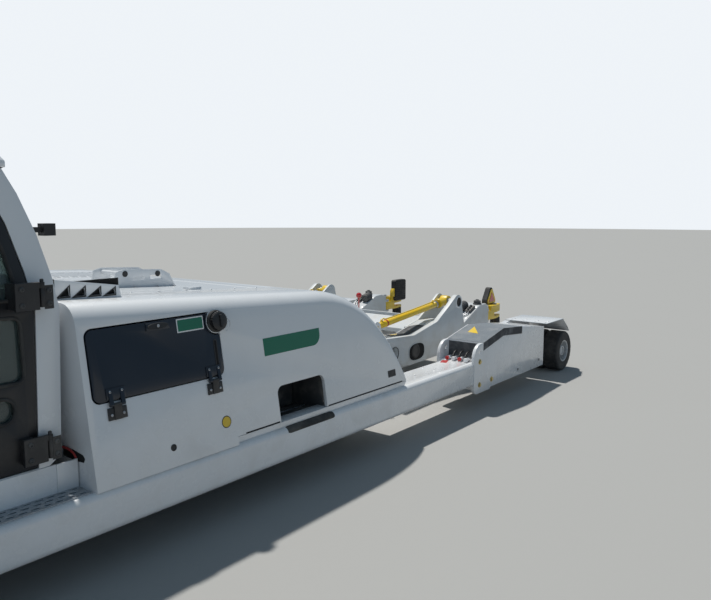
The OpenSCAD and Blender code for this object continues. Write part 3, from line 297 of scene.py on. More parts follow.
def galvanised(name):
    """Hot-dip zinc: crystals of differing grey, dull and slightly rough."""
    finish = Finish(name, (0.55, 0.58, 0.6), 0.42, 0.85)
    spangle = finish.cells(70.0)
    cloud = finish.noise(8.0, 5.0)
    grey = (spangle * 0.6 + cloud * 0.4).ramp(0.2, 0.75)
    finish.set("Base Color", finish.mix(grey, (0.34, 0.37, 0.4), (0.5, 0.53, 0.56)))
    finish.set("Roughness", (cloud * 0.3 + 0.3).clamped())
    return finish.bump(spangle + cloud, 0.06, 0.0004)


def gritty(name, colour):
    """Anti-slip coating: coarse grit with trodden, paler patches."""
    finish = Finish(name, colour, 0.85)
    grit = finish.cells(260.0)
    fine = finish.noise(700.0, 2.0)
    worn = finish.noise(7.0, 6.0, 0.6).smooth(0.45, 0.72)
    speck = grit.smooth(0.25, 0.6)
    base = finish.mix(speck * 0.45, colour, toned(colour, 1.9))
    finish.set("Base Color", finish.mix(worn * 0.45, base, (0.3, 0.31, 0.32)))
    finish.set("Roughness", (0.95 - worn * 0.2).clamped())
    return finish.bump(speck + fine * 0.5, 0.7, 0.0015)


def tinted_glass(name):
    """Grey-green safety glass with a film of dust."""
    finish = Finish(name, (0.35, 0.44, 0.43), 0.04, Transmission_Weight=0.85, IOR=1.45)
    film = finish.noise(6.0, 5.0).smooth(0.35, 0.8)
    finish.set("Roughness", film * 0.1 + 0.02)
    finish.set("Base Color", finish.mix(film * 0.3, (0.33, 0.42, 0.41), (0.5, 0.52, 0.5)))
    return finish


def woven(name, colour):
    """Seat cloth: a plain weave of crossing threads."""
    finish = Finish(name, colour, 0.9, Sheen_Weight=0.3)
    x, y, z = finish.axes()
    warp = ((x + z * 0.35) * 1900.0).sine()
    weft = ((y - z * 0.35) * 1900.0).sine()
    weave = warp * weft
    finish.set("Base Color", finish.mix(weave.ramp(-1.0, 1.0) * 0.5, colour, toned(colour, 2.2, 0.01)))
    return finish.bump(weave, 0.35, 0.0006)


def lens(name, colour):
    """Lamp lens: clear coloured plastic with vertical flutes."""
    finish = Finish(name, colour, 0.12, Coat_Weight=1.0, Coat_Roughness=0.04)
    x, y = finish.axes()[:2]
    flutes = ((x + y) * 500.0).sine()
    finish.set("Base Color", finish.mix(flutes.ramp(-1.0, 1.0) * 0.35, colour, toned(colour, 0.55)))
    return finish.bump(flutes, 0.4, 0.001)


def tread_rubber(name):
    """Solid tyre: scrubbed tread paler than the walls, with fine cracks and dust."""
    finish = Finish(name, TYRE_BLACK, 0.78)
    grain = finish.noise(180.0, 5.0, 0.7)
    dust = finish.noise(7.0, 6.0, 0.6).smooth(0.4, 0.75)
    low = 1.0 - finish.axes()[2].smooth(0.0, 0.16)
    finish.set("Base Color", finish.mix((dust * 0.4 + low * 0.25).clamped(), TYRE_BLACK, (0.16, 0.15, 0.135)))
    finish.set("Roughness", (dust * 0.15 + grain * 0.1 + 0.66).clamped())
    return finish.bump(grain + dust * 0.5, 0.35, 0.0015)


FINISHES = {}


def make_finishes(colours):
    """Every material of the tractor, by plain name."""
    body, cradle, yellow = tuple(colours.body), tuple(colours.cradle), tuple(colours.yellow)
    panel, door = tuple(colours.panel), tuple(colours.door)
    primer, bare, brown, dark = (0.3, 0.3, 0.3), (0.12, 0.12, 0.12), (0.2, 0.17, 0.12), (0.1, 0.1, 0.1)
    FINISHES.update(
        white=painted("gloss_white_paint", body, 0.24, dust_amount=0.2, chips=primer),
        grey=painted("cradle_grey_paint", cradle, 0.42, coat=0.15, dust_amount=0.55, chips=bare),
        yellow=painted("safety_yellow_paint", yellow, 0.35, coat=0.3, dust_amount=0.3, chips=brown),
        navy=painted("navy_panel_paint", panel, 0.3, coat=0.25, dust_amount=0.04),
        charcoal=painted("charcoal_door_paint", door, 0.42, coat=0.05, dust_amount=0.12),
        black=painted("satin_black_paint", (0.02, 0.02, 0.022), 0.45, coat=0.05, dust_amount=0.3),
        casting=painted("dark_casting_paint", (0.055, 0.057, 0.06), 0.6, coat=0.0, dust_amount=0.7),
        rim=painted("rim_grey_paint", (0.5, 0.52, 0.54), 0.4, coat=0.2, dust_amount=0.5, chips=dark),
        plastic=moulded("black_moulding", (0.022, 0.022, 0.024)),
        rubber=rubbery("black_rubber", (0.02, 0.02, 0.021)),
        tyre=tread_rubber("solid_tyre_rubber"),
        grit=gritty("anti_slip_coating", (0.15, 0.17, 0.19)),
        dark_grit=gritty("dark_anti_slip_coating", (0.055, 0.058, 0.063)),
        zinc=galvanised("galvanised_plate"),
        steel=bare_metal("machined_steel", (0.55, 0.56, 0.58)),
        brass=bare_metal("yellow_zinc_bolts", (0.62, 0.5, 0.22), 0.38, (1.0, 1.0, 1.0)),
        glass=tinted_glass("tinted_glass"),
        cloth=woven("seat_cloth", (0.03, 0.032, 0.036)),
        clear=lens("clear_lamp_lens", (0.75, 0.78, 0.8)),
        amber=lens("amber_lens", (0.9, 0.28, 0.01)),
        red=lens("red_lens", (0.55, 0.012, 0.015)),
        red_paint=painted("red_valve_paint", (0.5, 0.02, 0.02), 0.35, coat=0.3, dust_amount=0.15),
        green=painted("green_plate_enamel", (0.004, 0.16, 0.085), 0.3, coat=0.4, dust_amount=0.08),
        pale=painted("white_marking_paint", (0.8, 0.81, 0.82), 0.35, coat=0.1, dust_amount=0.25),
        # dark: a near-black stand-in for painted shade, laid where slots, gaps, recesses and openings look
        # dark
        dark=Finish("painted_shade_black", (0.006, 0.006, 0.007), 0.9),
        mirror=Finish("mirror_glass", (0.8, 0.82, 0.83), 0.03, 1.0),
    )


# Surfaces: a part is its points and its faces
def grid_faces(rows, columns, wrap_rows=False, wrap_columns=False):
    """Quads of a grid whose points run row by row: each joins a point with the next in its row and column."""
    down = np.arange(rows if wrap_rows else rows - 1)
    along = np.arange(columns if wrap_columns else columns - 1)
    i, j = (index.ravel() for index in np.meshgrid(down, along, indexing="ij"))
    k, l = (i + 1) % rows, (j + 1) % columns
    return np.stack([i * columns + j, k * columns + j, k * columns + l, i * columns + l], axis=1)


def rings(points, closed_way=False):
    """A part from rings of points, an array of (rings, points, 3), with flat ends. Each ring runs
    anticlockwise as seen from the last ring's side, so that the walls and the ends face outwards."""
    count, around = points.shape[:2]
    walls = grid_faces(count, around, closed_way, True)
    faces = [tuple(f) for f in (walls if closed_way else walls[:, ::-1])]
    if not closed_way:
        faces.append(tuple(range(around - 1, -1, -1)))
        faces.append(tuple((count - 1) * around + np.arange(around)))
    return points.reshape(-1, 3), faces


def frame_axes(normal):
    """Two directions square to the normal, which with it make a right-handed frame."""
    normal = np.asarray(normal, float) / np.linalg.norm(normal)
    helper = np.array([0.0, 0.0, 1.0]) if abs(normal[2]) < 0.9 else np.array([1.0, 0.0, 0.0])
    right = np.cross(helper, normal)
    right /= np.linalg.norm(right)
    return right, np.cross(normal, right), normal


def unit_circle(count, right, up):
    """Points of a circle of radius 1: the cosine of the angle along right and its sine along up."""
    angle = np.arange(count) * TAU / count
    return np.cos(angle)[:, None] * right + np.sin(angle)[:, None] * up


def lathe(profile, centre, axis, sides=32, closed=False):
    """A profile of (radius, height) pairs turned about the axis through the centre. A closed profile makes
    a ring with its hole left open."""
    right, up, along = frame_axes(axis)
    profile = np.asarray(profile, float)
    circle = unit_circle(sides, right, up)
    heights = (profile[:, 1, None] * along)[:, None, :]
    return rings(np.asarray(centre) + profile[:, 0, None, None] * circle + heights, closed)


def sweep(path, radius, sides=12):
    """A round bar: a circle carried along a path, square to it, whose radius may change along the path."""
    path = np.asarray(path, float)
    ways = np.gradient(path, axis=0)
    ways /= np.linalg.norm(ways, axis=1, keepdims=True)
    side = np.empty_like(path)
    last = frame_axes(ways[0])[0]
    for i, way in enumerate(ways):
        last = last - way * np.dot(last, way)
        last /= np.linalg.norm(last)
        side[i] = last
    over = np.cross(ways, side)
    angle = np.arange(sides) * TAU / sides
    radius = np.broadcast_to(radius, len(path))
    circle = np.cos(angle)[None, :, None] * side[:, None] + np.sin(angle)[None, :, None] * over[:, None]
    return rings(path[:, None] + radius[:, None, None] * circle)


def curve(points, count=24):
    """A smooth path through a few points: Catmull-Rom pieces of equal share."""
    points = np.asarray(points, float)
    ends = np.vstack([2 * points[0] - points[1], points, 2 * points[-1] - points[-2]])
    t = np.linspace(0, len(points) - 1 - 1e-9, count)
    i = t.astype(int)
    f = (t - i)[:, None]
    a, b, c, d = (ends[i + k] for k in range(4))
    square, cube = 2 * a - 5 * b + 4 * c - d, 3 * b - a - 3 * c + d
    return 0.5 * (2 * b + (c - a) * f + square * f**2 + cube * f**3)


def round_rect(width, height, radius, steps=5):
    """Outline of a rectangle about (0, 0) with round corners, anticlockwise."""
    angle = np.linspace(0, TAU / 4, steps)
    corner = radius * np.stack([np.cos(angle), np.sin(angle)], axis=1)
    turn = np.array([[0.0, 1.0], [-1.0, 0.0]])
    reach = np.array([width / 2 - radius, height / 2 - radius])
    out = []
    for i, signs in enumerate(((1, 1), (-1, 1), (-1, -1), (1, -1))):
        out.append(corner @ np.linalg.matrix_power(turn, i) + signs * reach)
    return np.concatenate(out)


def inset(outline, distance):
    """The outline moved inwards by a distance, point by point, for a chamfered edge."""
    ahead, behind = np.roll(outline, -1, axis=0), np.roll(outline, 1, axis=0)
    way = ahead - behind
    way /= np.linalg.norm(way, axis=1, keepdims=True) + 1e-12
    return outline + distance * np.stack([-way[:, 1], way[:, 0]], axis=1)


def plate(outline, origin, right, up, thickness, chamfer=0.0008):
    """A flat plate on the plane through origin: its outline lies in right and up, its thickness goes along
    their cross product, and its upper rim is chamfered."""
    outline = np.asarray(outline, float)
    right, up = np.asarray(right, float), np.asarray(up, float)
    normal = np.cross(right, up)
    levels = [(outline, 0.0), (outline, thickness - chamfer), (inset(outline, chamfer), thickness)]
    points = [np.asarray(origin) + o[:, :1] * right + o[:, 1:] * up + h * normal for o, h in levels]
    return rings(np.stack(points))


def at_depth(outline, y):
    """Points of a side view, in x and z, put at a y or at one y for each point."""
    return np.column_stack([outline[:, 0], np.broadcast_to(y, len(outline)), outline[:, 1]])


def slab(outline, y0, y1, chamfer=0.0015):
    """An outline in x and z, anticlockwise, carried from y1 down to y0, with both rims chamfered."""
    outline = np.asarray(outline, float)
    small = inset(outline, chamfer)
    levels = ((small, y1), (outline, y1 - chamfer), (outline, y0 + chamfer), (small, y0))
    return rings(np.stack([at_depth(points, y) for points, y in levels]))


def closed_sweep(points, radius, sides=8):
    """A seal or wire: a circle carried round a closed line of points."""
    points = np.asarray(points, float)
    way = np.roll(points, -1, axis=0) - np.roll(points, 1, axis=0)
    way /= np.linalg.norm(way, axis=1, keepdims=True)
    normal = np.cross(points - points.mean(axis=0), way).sum(axis=0)
    normal /= np.linalg.norm(normal)
    out = np.cross(way, normal)
    out /= np.linalg.norm(out, axis=1, keepdims=True)
    angle = np.arange(sides) * TAU / sides
    circle = np.cos(angle)[None, :, None] * out[:, None] + np.sin(angle)[None, :, None] * normal
    return rings(points[:, None] + radius * circle, closed_way=True)


def filled(points, step):
    """A closed line with points added evenly between its own, so that they stand at most a step apart."""
    out = []
    for a, b in zip(points, np.roll(points, -1, axis=0)):
        count = max(1, math.ceil(np.linalg.norm(b - a) / step))
        out.append(a + (b - a) * (np.arange(count) / count)[:, None])
    return np.concatenate(out)


def dense(outline, step=0.04, corner=0.0):
    """Points along a closed outline, at most a step apart, each corner cut by a parabola between the points
    that lie a corner's length before and after it."""
    outline = np.asarray(outline, float)
    if corner:
        t = np.linspace(0, 1, 5)[:, None]
        rounded = []
        for before, here, after in zip(np.roll(outline, 1, axis=0), outline, np.roll(outline, -1, axis=0)):
            a = here + (before - here) / np.linalg.norm(before - here) * corner
            b = here + (after - here) / np.linalg.norm(after - here) * corner
            rounded.append((1 - t) ** 2 * a + 2 * t * (1 - t) * here + t**2 * b)
        outline = np.concatenate(rounded)
    return filled(outline, step)


def circle_outline(radius, count, x=0.0, y=0.0):
    """Outline of a circle about (x, y), anticlockwise."""
    angle = np.arange(count) * TAU / count
    return np.stack([x + radius * np.cos(angle), y + radius * np.sin(angle)], axis=1)


def power(value, exponent):
    """The size of a value raised to the exponent, with the value's own sign."""
    return np.sign(value) * np.abs(value) ** exponent


def mirrored(part):
    """The part on the other side of the tractor, with its faces turned back outwards."""
    points, faces = part
    return points * [1, -1, 1], [tuple(reversed(face)) for face in faces]


def both(parts):
    """The parts of the left side and their mirror images on the right."""
    return parts + [mirrored(part) for part in parts]


def hex_bolts(spots, normal, size):
    """Hexagon heads with chamfered tops on washers, one at each spot; size is half the head's width."""
    right, up, along = frame_axes(normal)
    hexagon = unit_circle(6, right, up)
    washer = [(size * 1.45, 0), (size * 1.45, size * 0.16), (size * 1.3, size * 0.2)]
    head = ((1.0, 0.1), (1.0, 0.82), (0.86, 1.0))
    parts = []
    for spot in np.asarray(spots, float):
        parts.append(lathe(washer, spot, normal, 16))
        levels = [spot + size * (r * hexagon + (0.65 * h + 0.1) * along) for r, h in head]
        parts.append(rings(np.stack(levels)))
    return parts


def dome_screws(spots, normal, size):
    """Low domed screw heads with a socket's rim, one at each spot; size is the head's radius."""
    shares = [(1, 0), (0.98, 0.25), (0.75, 0.5), (0.42, 0.58), (0.38, 0.35)]
    return [lathe(size * np.array(shares), spot, normal, 12) for spot in spots]


def raise_piece(name, parts, finish, body="chassis", smooth=38.0):
    """Joins parts in one mesh object with its finish, and lets it ride on its body."""
    start = 0
    points, faces = [], []
    for part_points, part_faces in parts:
        points.append(part_points)
        faces += [tuple(int(i) + start for i in face) for face in part_faces]
        start += len(part_points)
    mesh = bpy.data.meshes.new(name)
    mesh.from_pydata(np.concatenate(points), [], faces)
    mesh.polygons.foreach_set("use_smooth", np.ones(len(mesh.polygons), bool))
    mesh.set_sharp_from_angle(angle=math.radians(smooth))
    mesh.materials.append(FINISHES[finish].material)
    mesh.update()
    piece = bpy.data.objects.new(name, mesh)
    bpy.context.scene.collection.objects.link(piece)
    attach(piece, body)
    return piece


# Places that several groups share; the deck's edges and the cab wall's corners are in x and z, or y and z
SIDE_LEAN = 0.161
SIDE_SETBACK = 0.008
BEAM_FACE = 1.710
BEAM_TOP = 0.455
BEAM_EDGE_RADIUS = 0.038
DECK_LOW = (0.190, 1.290)
DECK_HIGH = (1.956, 1.388)
DECK_SLOPE = (DECK_HIGH[1] - DECK_LOW[1]) / (DECK_HIGH[0] - DECK_LOW[0])
OUT = np.array([0.0, 1.0, SIDE_LEAN]) / math.hypot(1.0, SIDE_LEAN)
UPHILL = np.array([0.0, -SIDE_LEAN, 1.0]) / math.hypot(1.0, SIDE_LEAN)
DECK_UP = np.array([-DECK_SLOPE, 0.0, 1.0]) / math.hypot(1.0, DECK_SLOPE)
CAB_FOOT = (1.535, 0.605)
CAB_WAIST = (1.500, 1.37)
CAB_LOWER_LEAN = 0.0457
CAB_UPPER_LEAN = 0.169


def side_y(z):
    """The left body side's place at a height: it leans in evenly above the beam."""
    return BEAM_FACE - SIDE_SETBACK - (z - BEAM_TOP) * SIDE_LEAN


def on_side(x, z):
    """A point on the left body side."""
    return np.array([x, side_y(z), z])


def deck_z(x):
    """The deck's height: a straight slope that rises from its rear edge to the cab."""
    return DECK_LOW[1] + (x - DECK_LOW[0]) * DECK_SLOPE


def on_deck(x, y):
    """A point on the deck."""
    return np.array([x, y, deck_z(x)])


def cab_y(z):
    """The cab's left wall at a height: nearly upright below, leaning in above."""
    if z < CAB_WAIST[1]:
        return CAB_FOOT[0] - (z - CAB_FOOT[1]) * CAB_LOWER_LEAN
    return CAB_WAIST[0] - (z - CAB_WAIST[1]) * CAB_UPPER_LEAN


# Sizes and colours that a user may change
class TractorColours(bpy.types.PropertyGroup):
    """Paint colours of the tractor."""

    body: bpy.props.FloatVectorProperty(
        name="Body",
        description="Gloss paint of the body, arms and cab",
        subtype="COLOR",
        size=3,
        min=0.0,
        max=1.0,
        default=(0.78, 0.8, 0.82),
    )
    cradle: bpy.props.FloatVectorProperty(
        name="Cradle",
        description="Paint of the cradle between the arms",
        subtype="COLOR",
        size=3,
        min=0.0,
        max=1.0,
        default=(0.55, 0.58, 0.6),
    )
    yellow: bpy.props.FloatVectorProperty(
        name="Cylinders",
        description="Paint of the cylinders and gates",
        subtype="COLOR",
        size=3,
        min=0.0,
        max=1.0,
        default=(0.83, 0.56, 0.012),
    )
    panel: bpy.props.FloatVectorProperty(
        name="Access panel",
        description="Gloss paint of the access panel",
        subtype="COLOR",
        size=3,
        min=0.0,
        max=1.0,
        default=(0.006, 0.012, 0.024),
    )
    door: bpy.props.FloatVectorProperty(
        name="Door",
        description="Paint of the cab door",
        subtype="COLOR",
        size=3,
        min=0.0,
        max=1.0,
        default=(0.014, 0.0145, 0.017),
    )


class TractorSizes(bpy.types.PropertyGroup):
    """Sizes of the small parts."""

    edge: bpy.props.FloatProperty(
        name="Edge rounding",
        description="Width of the rounded edges of plates and boxes",
        unit="LENGTH",
        min=0.0,
        max=0.01,
        default=0.004,
    )
    bolt: bpy.props.FloatProperty(
        name="Bolt",
        description="Half the width of a bolt head on the arms",
        unit="LENGTH",
        min=0.005,
        max=0.03,
        default=0.014,
    )
    screw: bpy.props.FloatProperty(
        name="Screw",
        description="Radius of a screw head on panels",
        unit="LENGTH",
        min=0.003,
        max=0.015,
        default=0.008,
    )
    pipe: bpy.props.FloatProperty(
        name="Pipe",
        description="Radius of the hydraulic pipes, before each one's share",
        unit="LENGTH",
        min=0.005,
        max=0.02,
        default=0.011,
    )
    lug: bpy.props.FloatProperty(
        name="Tread depth",
        description="Depth of the grooves in the front tyres",
        unit="LENGTH",
        min=0.004,
        max=0.02,
        default=0.013,
    )


# The finish that each material slot of the solids gets
NODE_FINISHES = {
    "white_paint": "white",
    "grey_paint": "grey",
    "dark_metal": "casting",
    "black_paint": "black",
    "black_plastic": "plastic",
    "lamp_plastic": "plastic",
    "amber_plastic": "amber",
    "red_plastic": "red",
    "window_glass": "glass",
    "seat_cover": "cloth",
    "galvanised_steel": "zinc",
    "charcoal_paint": "charcoal",
    "navy_paint": "navy",
    "yellow_paint": "yellow",
    "tyre_rubber": "tyre",
    "pad_rubber": "rubber",
    "rim_grey": "rim",
}
# Solids whose edges stay sharp, and solids whose flat faces stay in triangles
SHARP_NODES = ("cab_glass", "door_glass", "lamps")
TRIANGLE_NODES = ("cab_shell",)
# Faces that meet at more than the first angle are shaded apart, and at more than the second they get a
# rounded edge. Under the third they are joined, and points closer than the gap, in metres, are merged.
SHADE_LIMIT = math.radians(32.0)
EDGE_LIMIT = math.radians(35.0)
FLAT_LIMIT = math.radians(0.4)
WELD_GAP = 0.00002


def smoothing_group():
    """Geometry nodes that shade a mesh smooth but for its sharp edges."""
    group = bpy.data.node_groups.new("shade_by_angle", "GeometryNodeTree")
    group.is_modifier = True
    group.interface.new_socket("Geometry", in_out="INPUT", socket_type="NodeSocketGeometry")
    group.interface.new_socket("Geometry", in_out="OUTPUT", socket_type="NodeSocketGeometry")
    start = group.nodes.new("NodeGroupInput")
    end = group.nodes.new("NodeGroupOutput")
    faces = group.nodes.new("GeometryNodeSetShadeSmooth")
    edges = group.nodes.new("GeometryNodeSetShadeSmooth")
    edges.domain = "EDGE"
    edges.inputs["Shade Smooth"].default_value = False
    angle = group.nodes.new("GeometryNodeInputMeshEdgeAngle")
    limit = group.nodes.new("FunctionNodeCompare")
    limit.operation = "GREATER_THAN"
    limit.inputs[1].default_value = SHADE_LIMIT
    group.links.new(angle.outputs[0], limit.inputs[0])
    group.links.new(limit.outputs[0], edges.inputs["Selection"])
    group.links.new(start.outputs[0], faces.inputs[0])
    group.links.new(faces.outputs[0], edges.inputs[0])
    group.links.new(edges.outputs[0], end.inputs[0])
    return group


def soften(node, group, width):
    """Joins a solid's loose triangles, rounds its edges and shades it smooth between them."""
    weld = node.modifiers.new("weld", "WELD")
    weld.merge_threshold = WELD_GAP
    if width > 0.0:
        if node.name not in TRIANGLE_NODES:
            flats = node.modifiers.new("flats", "DECIMATE")
            flats.decimate_type = "DISSOLVE"
            flats.angle_limit = FLAT_LIMIT
        bevel = node.modifiers.new("edges", "BEVEL")
        bevel.limit_method = "ANGLE"
        bevel.angle_limit = EDGE_LIMIT
        bevel.width = width
        bevel.segments = 2
        bevel.use_clamp_overlap = True
        bevel.harden_normals = False
    shade = node.modifiers.new("shade", "NODES")
    shade.node_group = group


class TRACTOR_OT_finishes(bpy.types.Operator):
    """Give every solid of the tractor its finish and rounded edges"""

    bl_idname = "tractor.finishes"
    bl_label = "Finishes"

    def execute(self, context):
        make_finishes(context.scene.tractor_colours)
        group = smoothing_group()
        slots = {part["node"]: part["material_slot"] for part in frame["record"]["subparts"]}
        for name, node in frame["nodes"].items():
            node.data.materials.clear()
            node.data.materials.append(FINISHES[NODE_FINISHES[slots[name]]].material)
            width = 0.0 if name in SHARP_NODES else context.scene.tractor_sizes.edge
            soften(node, group, width)
        return {"FINISHED"}


# Floor, light and camera: the camera's place, heading, pitch and lens are the photograph's
FLOOR_RADIUS = 70.0
SKY_COLOUR = (0.55, 0.77, 1.0, 1.0)
SKY_STRENGTH = 0.28
SEEN_SKY_COLOUR = (0.86, 0.9, 0.94, 1.0)
SUN_STRENGTH = 3.7
SUN_COLOUR = (1.0, 0.96, 0.9)
SUN_WAY = (0.11, 0.42, -1.0)
CAMERA_PLACE = (3.84, 4.78, 1.85)
CAMERA_HEADING = (-0.7897, -0.6135)
CAMERA_PITCH = math.radians(7.2)
SENSOR_WIDTH = 36.0
PICTURE_WIDTH_PIXELS = 711.0
FOCAL_LENGTH_PIXELS = 712.0


class TRACTOR_OT_stage(bpy.types.Operator):
    """Set the floor, the light and the camera"""

    bl_idname = "tractor.stage"
    bl_label = "Stage"

    def execute(self, context):
        rim = circle_outline(FLOOR_RADIUS, 96)
        mesh = bpy.data.meshes.new("floor")
        mesh.from_pydata([(x, y, 0.0) for x, y in rim], [], [tuple(range(len(rim)))])
        ground = Finish("pale_floor", (0.42, 0.42, 0.41), 0.85)
        cloud = ground.noise(0.6, 4.0)
        ground.set("Base Color", ground.mix(cloud * 0.12, (0.37, 0.37, 0.36), (0.32, 0.32, 0.31)))
        mesh.materials.append(ground.material)
        floor = bpy.data.objects.new("floor", mesh)
        context.scene.collection.objects.link(floor)
        self.light(context.scene)
        self.camera(context.scene)
        return {"FINISHED"}

    @staticmethod
    def light(scene):
        """Soft bluish sky all round, white to the camera, and a broad sun from the far side."""
        world = bpy.data.worlds.new("studio")
        scene.world = world
        world.use_nodes = True
        tree = world.node_tree
        tree.nodes.clear()
        output = tree.nodes.new("ShaderNodeOutputWorld")
        sky = tree.nodes.new("ShaderNodeBackground")
        sky.inputs[0].default_value = SKY_COLOUR
        sky.inputs[1].default_value = SKY_STRENGTH
        seen = tree.nodes.new("ShaderNodeBackground")
        seen.inputs[0].default_value = SEEN_SKY_COLOUR
        seen.inputs[1].default_value = 1.0
        rays = tree.nodes.new("ShaderNodeLightPath")
        mix = tree.nodes.new("ShaderNodeMixShader")
        tree.links.new(rays.outputs["Is Camera Ray"], mix.inputs[0])
        tree.links.new(sky.outputs[0], mix.inputs[1])
        tree.links.new(seen.outputs[0], mix.inputs[2])
        tree.links.new(mix.outputs[0], output.inputs[0])
        lamp = bpy.data.lights.new("sun", "SUN")
        lamp.energy = SUN_STRENGTH
        lamp.angle = math.radians(2.0)
        lamp.color = SUN_COLOUR
        sun = bpy.data.objects.new("sun", lamp)
        sun.rotation_euler = Vector(SUN_WAY).to_track_quat("-Z", "Y").to_euler()
        scene.collection.objects.link(sun)

    @staticmethod
    def camera(scene):
        """The photograph's view: from the driver's side, ahead of the rear arms."""
        level = math.cos(CAMERA_PITCH)
        way = Vector((CAMERA_HEADING[0] * level, CAMERA_HEADING[1] * level, -math.sin(CAMERA_PITCH)))
        lens = bpy.data.cameras.new("camera")
        lens.sensor_width = SENSOR_WIDTH
        lens.lens = SENSOR_WIDTH * FOCAL_LENGTH_PIXELS / PICTURE_WIDTH_PIXELS
        lens.clip_end = 300.0
        camera = bpy.data.objects.new("camera", lens)
        camera.location = CAMERA_PLACE
        camera.rotation_euler = way.to_track_quat("-Z", "Y").to_euler()
        scene.collection.objects.link(camera)
        scene.camera = camera
        scene.view_settings.view_transform = "Standard"


# Wheels
REAR_TYRE_WIDTH = 0.178


def tyre_part(centre, radius, width, inner, waist, lugs, depth):
    """A tyre round the Y axis: a section with round shoulders carried round the wheel, its tread cut by
    slanting grooves (a smooth step of the angle, folded lugs times round) and by two narrow bands."""
    shoulder = 0.13 * width
    arc = np.linspace(0, TAU / 4, 7)
    flat = np.linspace(-width / 2 + shoulder, width / 2 - shoulder, 15)
    rise = shoulder * np.sin(arc)
    fall = shoulder * np.cos(arc)
    y = np.concatenate([[-width / 2] * 3, flat[0] - fall, flat[1:-1], flat[-1] + rise, [width / 2] * 3])
    y[1] -= 0.004
    y[-2] += 0.004
    wall = np.array([inner, inner + waist, radius - 2.2 * shoulder])
    crown = np.full(len(flat) - 2, radius)
    r = np.concatenate([wall, radius - shoulder + rise, crown, radius - shoulder + fall, wall[::-1]])
    steps = lugs * 10
    a, across = np.meshgrid(np.arange(steps) * TAU / steps, y / (width / 2), indexing="ij")
    fold = np.abs(((a * lugs / TAU + 0.35 * np.abs(across)) % 1.0) - 0.5)
    groove = np.clip((0.17 - fold) / 0.09, 0, 1) * np.clip((np.abs(across) - 0.16) / 0.08, 0, 1)
    tread = np.clip((r - (radius - 1.2 * shoulder)) / (0.5 * shoulder), 0, 1)
    reach = r - depth * groove * tread
    points = np.stack([reach * np.cos(a), np.broadcast_to(y, a.shape), reach * np.sin(a)], axis=-1)
    faces = grid_faces(steps, len(y), True, True)[:, ::-1]
    return (points + centre).reshape(-1, 3), [tuple(f) for f in faces]


def bolt_ring(centre, side, radius, count, size, turn=0.0):
    """Bolts on a circle about the wheel's axis, evenly spaced from the angle turn."""
    angle = turn + np.arange(count) * TAU / count
    spots = centre + radius * np.stack([np.cos(angle), 0 * angle, np.sin(angle)], axis=1)
    return hex_bolts(spots, (0, side, 0), size)


def tyre_measures(node):
    """Centre, radius and width of a tyre node, from its box."""
    low, high = (np.array(corner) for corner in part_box(node))
    return (low + high) / 2, (high[2] - low[2]) / 2, high[1] - low[1]


class TRACTOR_OT_wheels(bpy.types.Operator):
    """Make the tyres, wheel nuts and hub caps"""

    bl_idname = "tractor.wheels"
    bl_label = "Wheels"

    def execute(self, context):
        for side, word in ((LEFT, "left"), (RIGHT, "right")):
            self.front(side, word, context.scene.tractor_sizes.lug)
            self.rear(side, word)
        return {"FINISHED"}

    @staticmethod
    def front(side, word, tread_depth):
        """A single grooved tyre, its wheel nuts and a domed hub cap."""
        node, body = f"front_tyre_{word}", f"front_wheel_{word}"
        centre, radius, width = tyre_measures(node)
        tyre = tyre_part(centre, radius, width, inner=0.19, waist=0.02, lugs=30, depth=tread_depth)
        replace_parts(raise_piece(f"front_tread_{word}", [tyre], "tyre", body), node)
        hub = centre + [0, side * (width / 2 - 0.052), 0]
        nuts = bolt_ring(hub + [0, side * 0.002, 0], side, radius=0.07, count=8, size=0.011)
        raise_piece(f"front_wheel_nuts_{word}", nuts, "steel", body)
        cap = [(0.058, -0.02), (0.058, 0.018), (0.052, 0.03), (0.03, 0.034), (0.028, 0.03), (0.012, 0.032)]
        raise_piece(f"front_hub_cap_{word}", [lathe(cap, hub, (0, side, 0))], "casting", body)

    @staticmethod
    def rear(side, word):
        """Two narrow tyres at the two ends of the node's width, their wheel nuts and the ring at the hub."""
        node, body = f"rear_tyres_{word}", f"rear_wheel_{word}"
        centre, radius, width = tyre_measures(node)
        pair = []
        for way in (-1, 1):
            middle = centre + [0, way * (width - REAR_TYRE_WIDTH) / 2, 0]
            tyre = tyre_part(middle, radius, REAR_TYRE_WIDTH, inner=0.125, waist=0.016, lugs=26, depth=0.004)
            pair.append(tyre)
        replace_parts(raise_piece(f"rear_treads_{word}", pair, "tyre", body), node)
        hub = centre + [0, side * (width / 2 - 0.05), 0]
        nuts = bolt_ring(hub, side, radius=0.088, count=10, size=0.009, turn=0.2)
        raise_piece(f"rear_wheel_nuts_{word}", nuts, "steel", body)
        ring = [(0.062, -0.012), (0.062, 0.022), (0.056, 0.03), (0.04, 0.031), (0.038, 0.022), (0.02, 0.024)]
        raise_piece(f"rear_hub_ring_{word}", [lathe(ring, hub, (0, side, 0))], "rim", body)


# Body sides
def disc(radius, height, lip=0.002):
    """Section of a flat round head with a soft rim."""
    return [(radius, 0), (radius, height - lip), (radius - lip, height), (radius * 0.5, height)]


def side_plate(x, z, width, height, corner, thickness=0.0015, lift=0.0):
    """A thin plate on the leaning left side; lift raises it off the side."""
    origin = on_side(x, z) + OUT * lift
    outline = round_rect(width, height, corner)
    return plate(outline, origin, REARWARD, UPHILL, thickness, min(0.0005, thickness / 3))


